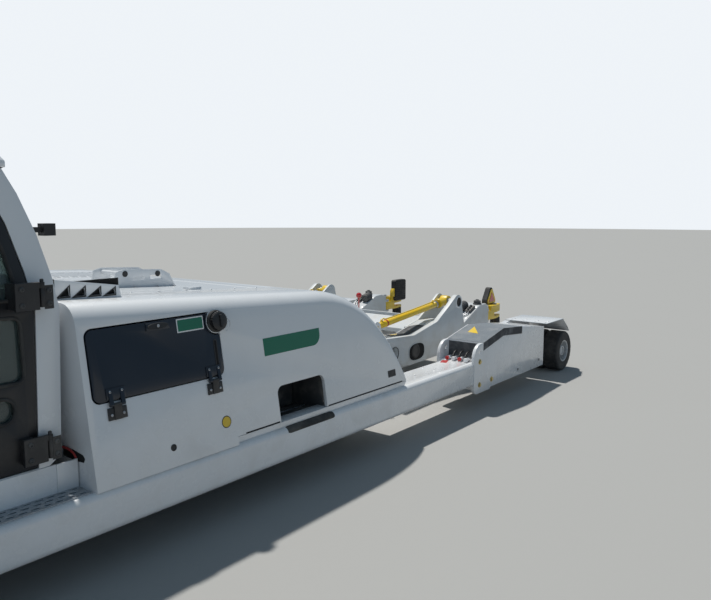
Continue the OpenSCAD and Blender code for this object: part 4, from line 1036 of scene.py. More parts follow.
def beam_edge_strip(x0, x1, thickness=0.0025):
    """A strip over the beam's round top edge: an arc of the edge's radius, thickened, carried along the beam
    and drawn in a little at both ends."""
    angle = np.linspace(math.radians(2), math.radians(88), 10)
    arc = np.stack([np.cos(angle), np.sin(angle)], axis=1)
    centre = [BEAM_FACE - BEAM_EDGE_RADIUS, BEAM_TOP - BEAM_EDGE_RADIUS]
    inner = centre + BEAM_EDGE_RADIUS * arc
    outer = centre + (BEAM_EDGE_RADIUS + thickness) * arc
    section = np.concatenate([outer, inner[::-1]])
    middle = section.mean(axis=0)
    points = []
    for x, share in ((x0, 0.8), (x0 + 0.02, 1.0), (x1 - 0.02, 1.0), (x1, 0.8)):
        points.append(np.column_stack([np.full(len(section), x), middle + (section - middle) * share]))
    return rings(np.stack(points))


# How far the access panel's face stands off the body side
PANEL_LIFT = 0.0061
# The treads in the foot holes: their ends in x and the height of their tops
TREAD_ENDS = (0.2, 0.62)
TREAD_TOP = 0.489
# The foot holes: the side walls in x, the back wall in y, the middle in y and z, the roof in z
HOLE_ENDS = (0.17, 0.65)
HOLE_BACK = 1.35
HOLE_MIDDLE = (1.498, 0.6)
HOLE_ROOF = 0.737
# The thickness of thin sheets
SHEET = 0.002


class TRACTOR_OT_sides(bpy.types.Operator):
    """Make the markings, cap, latch, screws and treads of the body sides"""

    bl_idname = "tractor.sides"
    bl_label = "Body sides"

    def execute(self, context):
        self.markings()
        self.front_wall()
        self.band()
        self.panel(context.scene.tractor_sizes.screw)
        self.filler()
        raise_piece("sill_pads", both([beam_edge_strip(0.12, 0.59)]), "rubber")
        self.treads()
        self.foot_holes()
        self.steps()
        return {"FINISHED"}

    @staticmethod
    def markings():
        """A plug, a blank yellow disc in its black rim, a black marker, and the dark line over the beam: a
        painted shadow under the fairing's edge.
        """
        plug = [(0.019, 0), (0.019, 0.002), (0.015, 0.004), (0.012, 0.0015)]
        raise_piece("side_plug", [lathe(plug, on_side(1.477, 0.56), OUT, 20)], "plastic")
        centre = on_side(1.086, 0.61)
        face = lathe(disc(0.031, 0.0016, 0.0005), centre, OUT, 28)
        raise_piece("side_disc", [face], "yellow")
        rim = [(0.036, 0), (0.036, 0.0012), (0.0345, 0.0016), (0.031, 0.0012)]
        raise_piece("side_disc_rim", [lathe(rim, centre, OUT, 28)], "black")
        raise_piece("side_marker", [side_plate(-0.61, 0.592, 0.1, 0.052, 0.004)], "black")
        # Thin black strips of painted shadow along the gap under the fairing, on both sides
        painted_gap_shadows = []
        for front, rear in ((0.945, 0.65), (0.17, -0.735)):
            painted_gap_shadows.append(side_plate((front + rear) / 2, 0.5085, front - rear, 0.008, 0.001, 0.0012))
        raise_piece("side_gap_shadows", both(painted_gap_shadows), "dark")

    @staticmethod
    def front_wall():
        """The dark gap in the left fairing's front wall, drawn as a black plate of painted shade, and the red
        pipe that shows in it.
        """
        low_edge = [(1.4, 0.59), (1.52, 0.585), (1.59, 0.59), (1.603, 0.612)]
        high_edge = [(1.585, 0.628), (1.5, 0.64), (1.4, 0.645)]
        # The gap's dark is painted shade: a black plate on the wall's face
        gap = plate(low_edge + high_edge, (1.9562, 0, 0), LEFTWARD, UPWARD, 0.0012, 0.0003)
        raise_piece("front_wall_gap_shade", [gap], "dark")
        bends = [(1.961, y, z) for y, z in ((1.405, 0.637), (1.46, 0.636), (1.505, 0.624), (1.53, 0.6))]
        raise_piece("front_wall_pipe", [sweep(curve(bends, 12), 0.006, 10)], "red_paint")

    @staticmethod
    def band():
        """A blank coloured band: straight edges, with one large round corner at its lower rear."""
        width, height, corner = 0.54, 0.112, 0.075
        right, top = width / 2, height / 2
        angle = np.linspace(-TAU / 4, 0, 8)
        arc = corner * np.stack([np.cos(angle), np.sin(angle)], axis=1) + [right - corner, corner - top]
        outline = np.concatenate([[[-right, -top]], arc, [[right, top], [-right, top]]])
        band = plate(outline, on_side(0.44, 0.99), REARWARD, UPHILL, 0.0012, 0.0004)
        raise_piece("side_band", [band], "green")

    @staticmethod
    def panel(screw):
        """On the access panel: a blank plate, the pull slot with a black plate of painted shade inside its
        rim, the latch with its lock, the hinges' screws.
        """
        plates = (
            ("panel_plate_border", (1.262, 1.206, 0.19, 0.078, 0.003, 0.001), 0.0, "pale", "white_paint"),
            ("panel_plate", (1.262, 1.206, 0.176, 0.064, 0.002, 0.0008), 0.0009, "green", "white_paint"),
            ("panel_pull_rim", (1.1, 1.0, 0.026, 0.2, 0.012, 0.002), 0.0, "plastic", "black_plastic"),
            # panel_pull is a black plate of painted shade inside the pull slot's rim
            ("panel_pull", (1.1, 1.0, 0.014, 0.186, 0.006, 0.001), 0.0015, "dark", "black_plastic"),
        )
        for name, shape, lift, finish, slot in plates:
            raise_piece(name, [side_plate(*shape, PANEL_LIFT + lift)], finish, "side_panel")
        latch = on_side(1.485, 1.225) + OUT * 0.0138
        oval = circle_outline(1.0, 28) * [0.07, 0.017]
        cup = plate(oval, latch, REARWARD, UPHILL, 0.004, 0.002)
        raise_piece("panel_latch", [cup], "plastic", "side_panel")
        barrel = [(0.0085, 0), (0.0085, 0.003), (0.007, 0.004), (0.003, 0.0035)]
        lock = lathe(barrel, latch + OUT * 0.003, OUT, 20)
        raise_piece("panel_lock", [lock], "steel", "side_panel")
        places = [x + dx for x in (1.140, 1.790) for dx in (-0.035, 0.035)]
        upper = [on_side(x, 0.932) + OUT * 0.0127 for x in places]
        lower = [on_side(x, 0.815) + OUT * 0.0078 for x in places]
        raise_piece("panel_hinge_screws", dome_screws(upper, OUT, screw), "steel", "side_panel")
        raise_piece("fairing_hinge_screws", dome_screws(lower, OUT, screw), "steel")

    @staticmethod
    def filler():
        """The filler cap: a knurled cap (a circle whose radius ripples 24 times round) on a collar, with a
        grip across it and its wire loop, which bulges by half a sine wave."""
        centre = on_side(1.07, 1.2) + OUT * 0.004
        collar = [(0.066, -0.004), (0.066, 0.006), (0.06, 0.012), (0.048, 0.012), (0.048, 0.02)]
        raise_piece("filler_collar", [lathe(collar, centre, OUT, 36)], "rubber")
        right, up, along = frame_axes(OUT)
        wave = np.sin(24 * np.arange(96) * TAU / 96)
        knurled = 1.0 + 0.025 * power(wave, 0.4)[:, None]
        circle = unit_circle(96, right, up)
        smooth = ((0.052, 0.012), (0.05, 0.042), (0.03, 0.045), (0.012, 0.046))
        levels = [smooth[0], (0.056, 0.018), (0.056, 0.036), *smooth[1:]]
        cap = [centre + r * (1.0 if (r, h) in smooth else knurled) * circle + h * along for r, h in levels]
        raise_piece("filler_cap", [rings(np.stack(cap))], "plastic")
        grip = plate(round_rect(0.016, 0.076, 0.007), centre + OUT * 0.044, REARWARD, UPHILL, 0.012, 0.003)
        raise_piece("filler_grip", [grip], "plastic")
        t = np.linspace(0, 1, 22)[:, None]
        bulge = (0.052 + 0.034 * np.sin(t * math.pi)) * np.array(REARWARD)
        path = centre + OUT * 0.024 + bulge + (0.02 - 0.085 * t) * UPHILL
        raise_piece("filler_wire", [sweep(path, 0.0016, 8)], "steel")

    @staticmethod
    def treads():
        """Ribbed rubber strips on the treads in the foot holes: four ribs on each tread and a flat strip."""
        rib = np.array([(0.005, 0), (0.003, 0.005), (-0.003, 0.005), (-0.005, 0)])
        parts = []
        for first in (1.43, 1.515):
            for k in range(4):
                section = rib + [first + 0.0105 + k * 0.013, TREAD_TOP]
                parts.append(rings(np.stack([np.column_stack([np.full(4, x), section]) for x in TREAD_ENDS])))
        strip = round_rect(0.438, 0.058, 0.006)
        for y in (1.46, 1.545):
            middle = (sum(TREAD_ENDS) / 2, y, TREAD_TOP + 0.0001)
            parts.append(plate(strip, middle, AHEAD, LEFTWARD, 0.0018, 0.0005))
        raise_piece("tread_ribs", both(parts), "rubber")

    @staticmethod
    def foot_holes():
        """Sheet lining of the foot holes: two back walls with a dark gap between, two sides and a roof. The
        wide back wall, the sides and the roof wear dark casting paint as painted shade inside the holes; the
        near back wall is grey.
        """
        y, z = HOLE_MIDDLE

        def wall(width, place, right, up=UPWARD, height=0.27):
            """A rounded rectangle in the plane of right and up, with the sheet's thickness."""
            return plate(round_rect(width, height, 0.002), place, right, up, SHEET, 0.0004)

        # The wide back wall, the sides and the roof take dark casting paint for painted shade; the near back
        # wall keeps the lining's grey
        wide = wall(0.275, (0.3125, HOLE_BACK, z), REARWARD)
        near = wall(0.165, (0.5625, HOLE_BACK, z), REARWARD)
        raise_piece("foot_hole_shaded_backs", both([wide]), "casting")
        raise_piece("foot_hole_near_backs", both([near]), "grey")
        sides = [wall(0.29, (x, y, z), way) for x, way in zip(HOLE_ENDS, (LEFTWARD, RIGHTWARD))]
        roof = wall(0.48, (sum(HOLE_ENDS) / 2, y, HOLE_ROOF), REARWARD, LEFTWARD, 0.29)
        raise_piece("foot_hole_shaded_sides", both([*sides, roof]), "casting")

    @staticmethod
    def steps():
        """Raised rims round the slots of the entry steps, and a black plate of painted shade in each slot,
        where it is dark under the step.
        """
        rims, painted_shades = [], []
        for y, first in ((1.568, 2.006), (1.608, 2.036), (1.648, 2.006)):
            for x in np.arange(first, 2.945, 0.06):
                line = round_rect(0.042, 0.019, 0.0085, 3) + [x, y]
                rims.append(closed_sweep(np.column_stack([line, np.full(len(line), 0.4612)]), 0.0022, 6))
                # floor: outline of the black plate of painted shade under each slot
                floor = round_rect(0.0385, 0.0155, 0.007, 3)
                painted_shades.append(plate(floor, (x, y, 0.4553), AHEAD, LEFTWARD, 0.0012, 0.0003))
        raise_piece("step_slot_rims", both(rims), "zinc")
        raise_piece("step_slot_painted_shades", both(painted_shades), "dark")


# Cab: the outlines of the door and of its upper window, in x and z
DOOR_REAR = [(2.166, 0.617), (2.122, 1.39), (2.150, 1.56), (2.205, 1.78), (2.290, 1.99)]
DOOR_OUTLINE = [*DOOR_REAR, (2.985, 1.99), (2.985, 0.617)]
UPPER_WINDOW = [(2.185, 1.43), (2.225, 1.64), (2.26, 1.76), (2.34, 1.93), (2.925, 1.93), (2.925, 1.43)]
# The windscreen's foot and top, in x and z
SCREEN_FOOT = (3.65, 1.0897)
SCREEN_TOP = (3.252, 2.05)
SCREEN_SLOPE = (SCREEN_TOP[0] - SCREEN_FOOT[0]) / (SCREEN_TOP[1] - SCREEN_FOOT[1])
# The radius of the rubber profiles round the windows
SEAL_RADIUS = 0.009


def on_cab(outline, lift=0.0):
    """Points of a side view put on the cab's left wall; lift is outwards."""
    return at_depth(outline, np.array([cab_y(z) for z in outline[:, 1]]) + lift)


def screen_x(z):
    """The windscreen's place at a height: a straight slope from its foot to its top."""
    return SCREEN_FOOT[0] + (z - SCREEN_FOOT[1]) * SCREEN_SLOPE


class TRACTOR_OT_cab(bpy.types.Operator):
    """Make the seals, handle, hinge leaves, wiper, mirror glass and gutter of the cab"""

    bl_idname = "tractor.cab"
    bl_label = "Cab"

    def execute(self, context):
        seal = dense(DOOR_OUTLINE)
        outwards = seal - seal.mean(axis=0)
        seal = seal + outwards / np.linalg.norm(outwards, axis=1, keepdims=True) * 0.005
        raise_piece("door_seal", [closed_sweep(on_cab(seal, -0.016), 0.0046)], "rubber")
        lower = dense(round_rect(0.72, 0.31, 0.04) + [2.555, 1.195], 0.03)
        port = circle_outline(0.06, 36, 2.31, 0.918)
        openings = (dense(UPPER_WINDOW, 0.03, 0.03), lower, port)
        frames = [closed_sweep(on_cab(opening, 0.001), SEAL_RADIUS) for opening in openings]
        raise_piece("door_window_seals", frames, "rubber", "door")
        self.windows()
        self.handle()
        self.hinges(context.scene.tractor_sizes.screw)
        self.wiper()
        self.mirrors()
        self.roof()
        return {"FINISHED"}

    @staticmethod
    def windows():
        """Rubber profiles round the fixed windows: right side, rear quarter, windscreen and rear."""
        right = dense([(2.2, 1.4), (2.3, 1.94), (3.19, 1.94), (3.42, 1.4)], 0.05, 0.02)
        quarter = dense([(3.045, 1.33), (3.045, 1.96), (3.23, 1.96), (3.48, 1.33)], 0.05, 0.02)
        screen = dense([(0.32, 1.23), (1.38, 1.23), (1.37, 1.95), (0.32, 1.95)], 0.05, 0.03)
        screen = np.column_stack([screen_x(screen[:, 1]) + 0.002, screen])
        rear_line = np.array([(1.366, 1.992), (1.518, 2.007), (1.732, 2.056), (1.928, 2.124), (2.05, 2.184)])
        rear = dense([(0.34, 1.44), (1.32, 1.44), (1.32, 1.92), (0.34, 1.92)], 0.04, 0.03)
        rear = np.column_stack([np.interp(rear[:, 1], rear_line[:, 0], rear_line[:, 1]) - 0.001, rear])
        frames = [
            closed_sweep(at_depth(right, 0.229), SEAL_RADIUS),
            closed_sweep(on_cab(quarter, 0.001), SEAL_RADIUS),
            closed_sweep(screen, 0.01),
            closed_sweep(rear, SEAL_RADIUS),
        ]
        raise_piece("window_seals", frames, "rubber")

    @staticmethod
    def handle():
        """Door handle: a round bar bent back into two feet, with a lock barrel under it."""
        x, y = 2.955, cab_y(1.39)
        bends = [(x, y - 0.004, 1.02), (x + 0.002, y + 0.045, 1.03), (x + 0.002, y + 0.052, 1.08)]
        bends += [(x, y + 0.05, 1.3), (x, y + 0.042, 1.35), (x, y - 0.008, 1.36)]
        bar = sweep(curve(bends, 40), 0.011)
        raise_piece("door_handle", [bar], "plastic", "door")
        feet = [lathe(disc(0.02, 0.006), (x, cab_y(z) - 0.001, z), (0, 1, 0.05), 20) for z in (1.022, 1.358)]
        barrel = [(0.014, 0), (0.014, 0.008), (0.011, 0.01), (0.004, 0.009)]
        lock = lathe(barrel, (x, cab_y(0.96) - 0.001, 0.96), (0, 1, 0.045), 20)
        raise_piece("door_handle_feet", [*feet, lock], "steel", "door")

    @staticmethod
    def hinges(screw):
        """Leaves of the door's hinges over their arms, with two bolts each, and the pins' heads."""

        def leaf(x0, x1, low, high):
            """The rectangle between two places in x and two in z."""
            return [(x0, low), (x1, low), (x1, high), (x0, high)]

        door_leaves, door_bolts, pillar_leaves, pillar_bolts = [], [], [], []
        pin_head = [(0.009, 0), (0.009, 0.012), (0.006, 0.016)]
        for z in (0.7, 1.44):
            door_leaves.append(slab(leaf(2.128, 2.246, z - 0.056, z + 0.0755), 1.557, 1.5745, 0.003))
            foot = cab_y(z + 0.071) - 0.004
            door_leaves.append(slab(leaf(2.185, 2.242, z - 0.05, z + 0.071), foot, 1.5575))
            door_bolts += [(2.214, 1.5743, z - 0.03), (2.214, 1.5743, z + 0.046)]
            pillar_leaves.append(slab(leaf(2.058, 2.104, z - 0.056, z + 0.058), 1.5655, 1.5705))
            pillar_leaves.append(lathe(pin_head, (2.11, 1.562, z + 0.0732), UPWARD, 16))
            pillar_bolts += [(2.08, 1.5703, z - 0.03), (2.08, 1.5703, z + 0.032)]
        size = screw * 1.7
        raise_piece("door_hinge_plates", door_leaves, "black", "door")
        heads = dome_screws(door_bolts, LEFTWARD, size)
        raise_piece("door_hinge_bolts", heads, "casting", "door")
        raise_piece("pillar_hinge_plates", pillar_leaves, "black")
        heads = dome_screws(pillar_bolts, LEFTWARD, size)
        raise_piece("pillar_hinge_bolts", heads, "casting")
        sill = slab(leaf(1.962, 2.0755, 0.4555, 0.605), 1.533, 1.545)
        raise_piece("door_sill_ends", both([sill]), "white")

    @staticmethod
    def wiper():
        """Windscreen wiper: motor cap, arm and blade lying on the glass."""
        out = np.array([1.0, 0, -SCREEN_SLOPE]) / math.hypot(SCREEN_SLOPE, 1)

        def at(y, z, lift=0.0):
            """The glass's point at y and z, moved off it along its outward direction by the lift."""
            return np.array([screen_x(z), y, z]) + out * lift

        motor = lathe([(0.03, 0), (0.03, 0.02), (0.022, 0.032), (0.008, 0.034)], at(0.86, 1.17), out, 24)
        bends = [at(0.86, 1.17, 0.026), at(0.8, 1.3, 0.026), at(0.72, 1.5, 0.012), at(0.7, 1.56, 0.006)]
        arm = sweep(bends, [0.009, 0.008, 0.006, 0.004], 10)
        blade = sweep([at(0.88, 1.42, 0.002), at(0.72, 1.56, 0.002), at(0.56, 1.7, 0.002)], 0.006, 8)
        raise_piece("wiper", [motor, arm, blade], "plastic")

    @staticmethod
    def mirrors():
        """Mirror glass in the rear faces of the mirror heads."""
        low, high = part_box("mirrors")
        outline = round_rect(0.148, 0.276, 0.042, 8)
        glasses = []
        for y in (high.y - 0.085, low.y + 0.085):
            glasses.append(plate(outline, (3.3098, y, 1.7), RIGHTWARD, UPWARD, 0.0012, 0.0004))
        raise_piece("mirror_glass", glasses, "mirror")

    @staticmethod
    def roof():
        """Gutter round the roof, and the lens of the work lamp."""
        outline = round_rect(1.106, 1.19, 0.06, 8) + [2.718, 0.807]
        gutter = np.column_stack([outline, np.full(len(outline), 2.052)])
        raise_piece("roof_gutter", [closed_sweep(filled(gutter, 0.05), 0.006)], "rubber")
        lamp = plate(round_rect(0.05, 0.05, 0.008), (1.9581, 1.412, 1.755), RIGHTWARD, UPWARD, 0.002, 0.0008)
        raise_piece("work_lamp_lens", [lamp], "clear")


# Deck and intake: the height of the guard's tubes over the deck
GUARD_TUBE_HEIGHT = 0.09
# The intake's side face and the outer face of the frames on it, in y
INTAKE_FACE = 1.2795
INTAKE_FRAME_FACE = 1.2822


class TRACTOR_OT_deck(bpy.types.Operator):
    """Make the lid's gasket, the guard's bolts, the louvres, the intake's trim and the screws"""

    bl_idname = "tractor.deck"
    bl_label = "Deck"

    def execute(self, context):
        line = dense([(0.276, -0.154), (1.464, -0.154), (1.464, 1.034), (0.276, 1.034)], 0.06)
        gasket = np.array([on_deck(x, y) - [0, 0, 0.012] for x, y in line])
        raise_piece("lid_gasket", [closed_sweep(gasket, 0.0036)], "rubber")
        caps = []
        for x in (0.79, 1.05):
            for y, way in ((0.4, RIGHTWARD), (0.668, LEFTWARD)):
                caps.append(lathe(disc(0.02, 0.006), on_deck(x, y) + [0, 0, GUARD_TUBE_HEIGHT], way, 20))
        raise_piece("guard_tube_ends", caps, "plastic", "lid")
        feet = [on_deck(x, y) + DECK_UP * 0.0004 for x in (0.66, 0.8, 0.98, 1.12) for y in (0.385, 0.683)]
        raise_piece("guard_bolts", hex_bolts(feet, DECK_UP, 0.009), "steel", "lid")
        self.louvres()
        self.intake()
        screw = context.scene.tractor_sizes.screw * 0.8
        spots = [on_deck(x, y) + DECK_UP * 0.0002 for x in np.linspace(0.24, 1.92, 9) for y in (-1.06, 1.072)]
        raise_piece("deck_screws", dome_screws(spots, DECK_UP, screw), "steel")
        return {"FINISHED"}

    @staticmethod
    def louvres():
        """Vents in the deck's right half: hoods that rise like a quarter of a sine wave over each slot."""
        u, v = np.meshgrid(np.linspace(-0.5, 0.5, 15), np.linspace(0, 1, 7), indexing="ij")
        ends = np.clip((0.5 - np.abs(u)) / 0.06, 0, 1) ** 0.5
        rise = 0.014 * np.sin(v * math.pi / 2) * ends + 0.0004
        rise[:, 0] = 0.0002
        y = -0.62 + 0.5 * u
        parts = []
        for first in np.arange(0.42, 1.32, 0.075):
            x = first + 0.04 * v
            z = deck_z(x)
            hood = np.stack([x, y, z + rise], axis=-1)
            foot = np.stack([x, y, z + 0.0002], axis=-1)
            parts.append(rings(np.concatenate([foot[:, :1], hood, foot[:, -1:]], axis=1)))
        raise_piece("deck_louvres", parts, "white")

    @staticmethod
    def intake():
        """A black plate of painted shade behind the cowl's sawtooth openings, black frames round them that
        widen each opening's dark as painted shade, and edge trim along its open front.
        """
        # mesh: a black plate of painted shade, where the cowl's dark inside shows through the openings
        panel = [(-0.2, -0.06), (0.2, -0.06), (0.2, 0.04), (-0.2, 0.04)]
        mesh = plate(panel, (1.7, 1.262, 1.432), REARWARD, UPWARD, 0.003, 0.0005)
        raise_piece("intake_shade_plate", [mesh], "dark")
        # Black frames round each opening, larger than the opening, paint its dark wider as painted shade
        frames = []
        for i in range(4):
            x, base, top = 1.53 + 0.092 * i, 1.385 + 0.004 * i, 1.418 + 0.01 * i
            outer = np.array([(x - 0.002, top + 0.01), (x + 0.086, base - 0.009), (x - 0.002, base - 0.009)])
            inner = np.array([(x + 0.006, top), (x + 0.062, base), (x, base)])
            front = [at_depth(line, INTAKE_FRAME_FACE) for line in (outer, inner)]
            back = [at_depth(line, INTAKE_FACE) for line in (inner, outer)]
            frames.append(rings(np.stack(front + back, axis=1), closed_way=True))
        raise_piece("intake_shade_frames", frames, "black")
        x, low, high = 1.8905, 1.388, 1.488
        corners = [(x, 0.262, low), (x, 0.262, high), (x, 1.278, high), (x, 1.278, low)]
        raise_piece("intake_trim", [sweep(corners, 0.004, 8)], "rubber")


# Rear arms and beams: the arm's outer and inner faces, in y
ARM_FACE = 1.715
ARM_INNER_FACE = 1.3148
# Where the arm's top starts, peaks and ends, in x and z
ARM_LINE = np.array([(-2.05, 0.620), (-2.46, 0.705), (-2.88, 0.670)])


def arm_top(x):
    """The height of the arm's top: straight between the points of its line."""
    return float(np.interp(-x, -ARM_LINE[:, 0], ARM_LINE[:, 1]))


def along_arm(section, xs):
    """A section in y and z, measured from the arm's top, carried along the arm."""
    rows = [np.column_stack([np.full(len(section), x), section + [0, arm_top(x) + 0.0003]]) for x in xs]
    return rings(np.stack(rows)[::-1])


class TRACTOR_OT_arms(bpy.types.Operator):
    """Make the anti-slip tops, bolts, couplings and plugs of the arms and beams"""

    bl_idname = "tractor.arms"
    bl_label = "Arms and beams"

    def execute(self, context):
        sizes = context.scene.tractor_sizes
        xs = (-2.052, -2.2, -2.44, -2.46, -2.48, -2.7, -2.88)
        inside, outside = 1.330, 1.7152
        top = np.array([(inside, 0), (outside, 0), (outside, 0.0027), (inside, 0.0027)])
        raise_piece("arm_grip_tops", both([along_arm(top, xs)]), "grit")
        edge = [(outside, 0.0028), (outside, -0.072), (1.7178, -0.072), (1.7178, 0.0015), (1.7165, 0.0028)]
        band = along_arm(np.array(edge), xs)
        # The dark grit plate over the arm's front wall is painted shade; the band along the arm's outer top
        # edge is real anti-slip
        wall = round_rect(0.338, 0.15, 0.004)
        painted_shade_wall = plate(wall, (-2.0497, 1.515, 0.532), LEFTWARD, UPWARD, 0.0025, 0.0006)
        raise_piece("arm_grip_bands_and_wall_shade", both([band, painted_shade_wall]), "dark_grit")
        rise = ARM_LINE[1] - ARM_LINE[0]
        along = np.array([rise[0], 0, rise[1]]) / np.linalg.norm(rise)
        origin = np.array([-2.27, 1.53, arm_top(-2.27) + 0.0032])
        triangle = np.array([(-0.01, 0.1), (-0.02, -0.02), (0.15, 0.11)])
        mark = plate(triangle, origin, along, RIGHTWARD, 0.0008, 0.0002)
        raise_piece("arm_marks", both([mark]), "yellow")
        spots = np.array([(-1.985, 0.452), (-1.985, 0.235), (-2.225, 0.245)])
        bolts = hex_bolts(at_depth(spots, ARM_FACE), LEFTWARD, sizes.bolt * 1.25)
        raise_piece("arm_bolts", both(bolts), "brass")
        nuts = hex_bolts(at_depth(spots, ARM_INNER_FACE), RIGHTWARD, sizes.bolt * 1.25)
        raise_piece("arm_nuts", both(nuts), "brass")
        head = [(0.013, 0), (0.013, 0.0015), (0.01, 0.003), (0.006, 0.001)]
        plugs = [lathe(head, (x, ARM_FACE, z), LEFTWARD, 16) for x, z in ((-2.81, 0.236), (-3.33, 0.25))]
        raise_piece("arm_plugs", both(plugs), "plastic")
        tops = [(x, y, BEAM_TOP) for x, y in ((-1.147, 1.547), (-1.459, 1.423), (-1.459, 1.549))]
        raise_piece("beam_screws", both(dome_screws(tops, UPWARD, sizes.screw * 0.9)), "steel")
        fender = [(x, y, 0.620) for x in (-3.56, -3.64) for y in (1.28, 1.42, 1.56, 1.68)]
        raise_piece("fender_bolts", both(dome_screws(fender, UPWARD, sizes.screw)), "steel")
        self.couplings(sizes.pipe)
        return {"FINISHED"}

    @staticmethod
    def couplings(radius):
        """Quick couplings on the beams: turned bodies, dust caps, rigid pipes and a blank tag."""
        body = [(0.01, 0), (0.013, 0.004), (0.013, 0.02), (0.017, 0.024)]
        body += [(0.017, 0.05), (0.014, 0.054), (0.014, 0.075), (0.011, 0.08)]
        cap = [(0.015, 0), (0.0185, 0.003), (0.0185, 0.018), (0.016, 0.022), (0.006, 0.023)]
        bends = np.array([(-2.049, 0.04), (-2.035, 0.04), (-2.005, 0.03), (-1.98, 0.006), (-1.954, 0)])
        z = BEAM_TOP + 0.0215
        steel, red, pale, black = [], [], [], []
        for y, finish in ((1.435, red), (1.5, pale), (1.565, red), (1.63, pale)):
            steel.append(lathe(body, (-1.955, y, z), AHEAD, 20))
            finish.append(lathe(cap, (-1.878, y, z), AHEAD, 24))
            black.append(sweep(curve(at_depth(bends + [0, z], y), 16), radius * 0.8))
            foot = round_rect(0.03, 0.046, 0.005)
            steel.append(plate(foot, (-1.92, y, BEAM_TOP), AHEAD, LEFTWARD, 0.008, 0.001))
        tag = round_rect(0.11, 0.06, 0.01)
        red.append(plate(tag, (-1.79, 1.45, BEAM_TOP), (0.94, 0.34, 0), (-0.34, 0.94, 0), 0.0012, 0.0004))
        raise_piece("coupling_bodies", both(steel), "steel")
        raise_piece("coupling_red_caps", both(red), "red_paint")
        raise_piece("coupling_white_caps", both(pale), "pale")
        raise_piece("coupling_pipes", both(black), "plastic")


# Cradle, cylinders and gates on the left side: the cheek's outer face and the cylinder's middle in y, the
# cradle's pivot with its recess, the cheek's hole and the cylinder's two pins in x and z
CHEEK_FACE = 1.01
PIVOT = (-1.98, 0.47)
RECESS = (-2.0, 0.462)
CHEEK_HOLE = (-1.62, 0.5)
ROD_PIN = (-2.82, 0.872)
CYLINDER_BASE = (-1.5, 0.745)
CYLINDER_MIDDLE = 0.84
CYLINDER_RUN = CYLINDER_BASE[0] - ROD_PIN[0]
CYLINDER_RISE = ROD_PIN[1] - CYLINDER_BASE[1]
# The barrel's share of the length between the two pins
BARREL_SHARE = 0.86
# The gate arm's sloping top, from its low end to its high one, in x and z
GATE_ARM_TOP = ((-3.13, 0.55), (-3.57, 0.744))
GATE_ARM_SLOPE = math.atan2(GATE_ARM_TOP[1][1] - GATE_ARM_TOP[0][1], GATE_ARM_TOP[0][0] - GATE_ARM_TOP[1][0])
# The axes of the gate's pin and of its roller, in x and y
GATE_PIN = (-3.9, 0.745)
ROLLER = (-4.2, 0.745)


def for_side(parts, side):
    """The parts as they are for the left side, mirrored for the right one."""
    return parts if side == LEFT else [mirrored(part) for part in parts]


def cheek_turned(profile, place, sides):
    """Profiles turned about an axis square to the cheeks' outer faces, on both sides."""
    return both([lathe(profile, (place[0], CHEEK_FACE, place[1]), LEFTWARD, sides)])


def at_gate_pin(x, y, z):
    """A point measured from the gate's pin in x and y, and from the ground in z."""
    return (GATE_PIN[0] + x, GATE_PIN[1] + y, z)


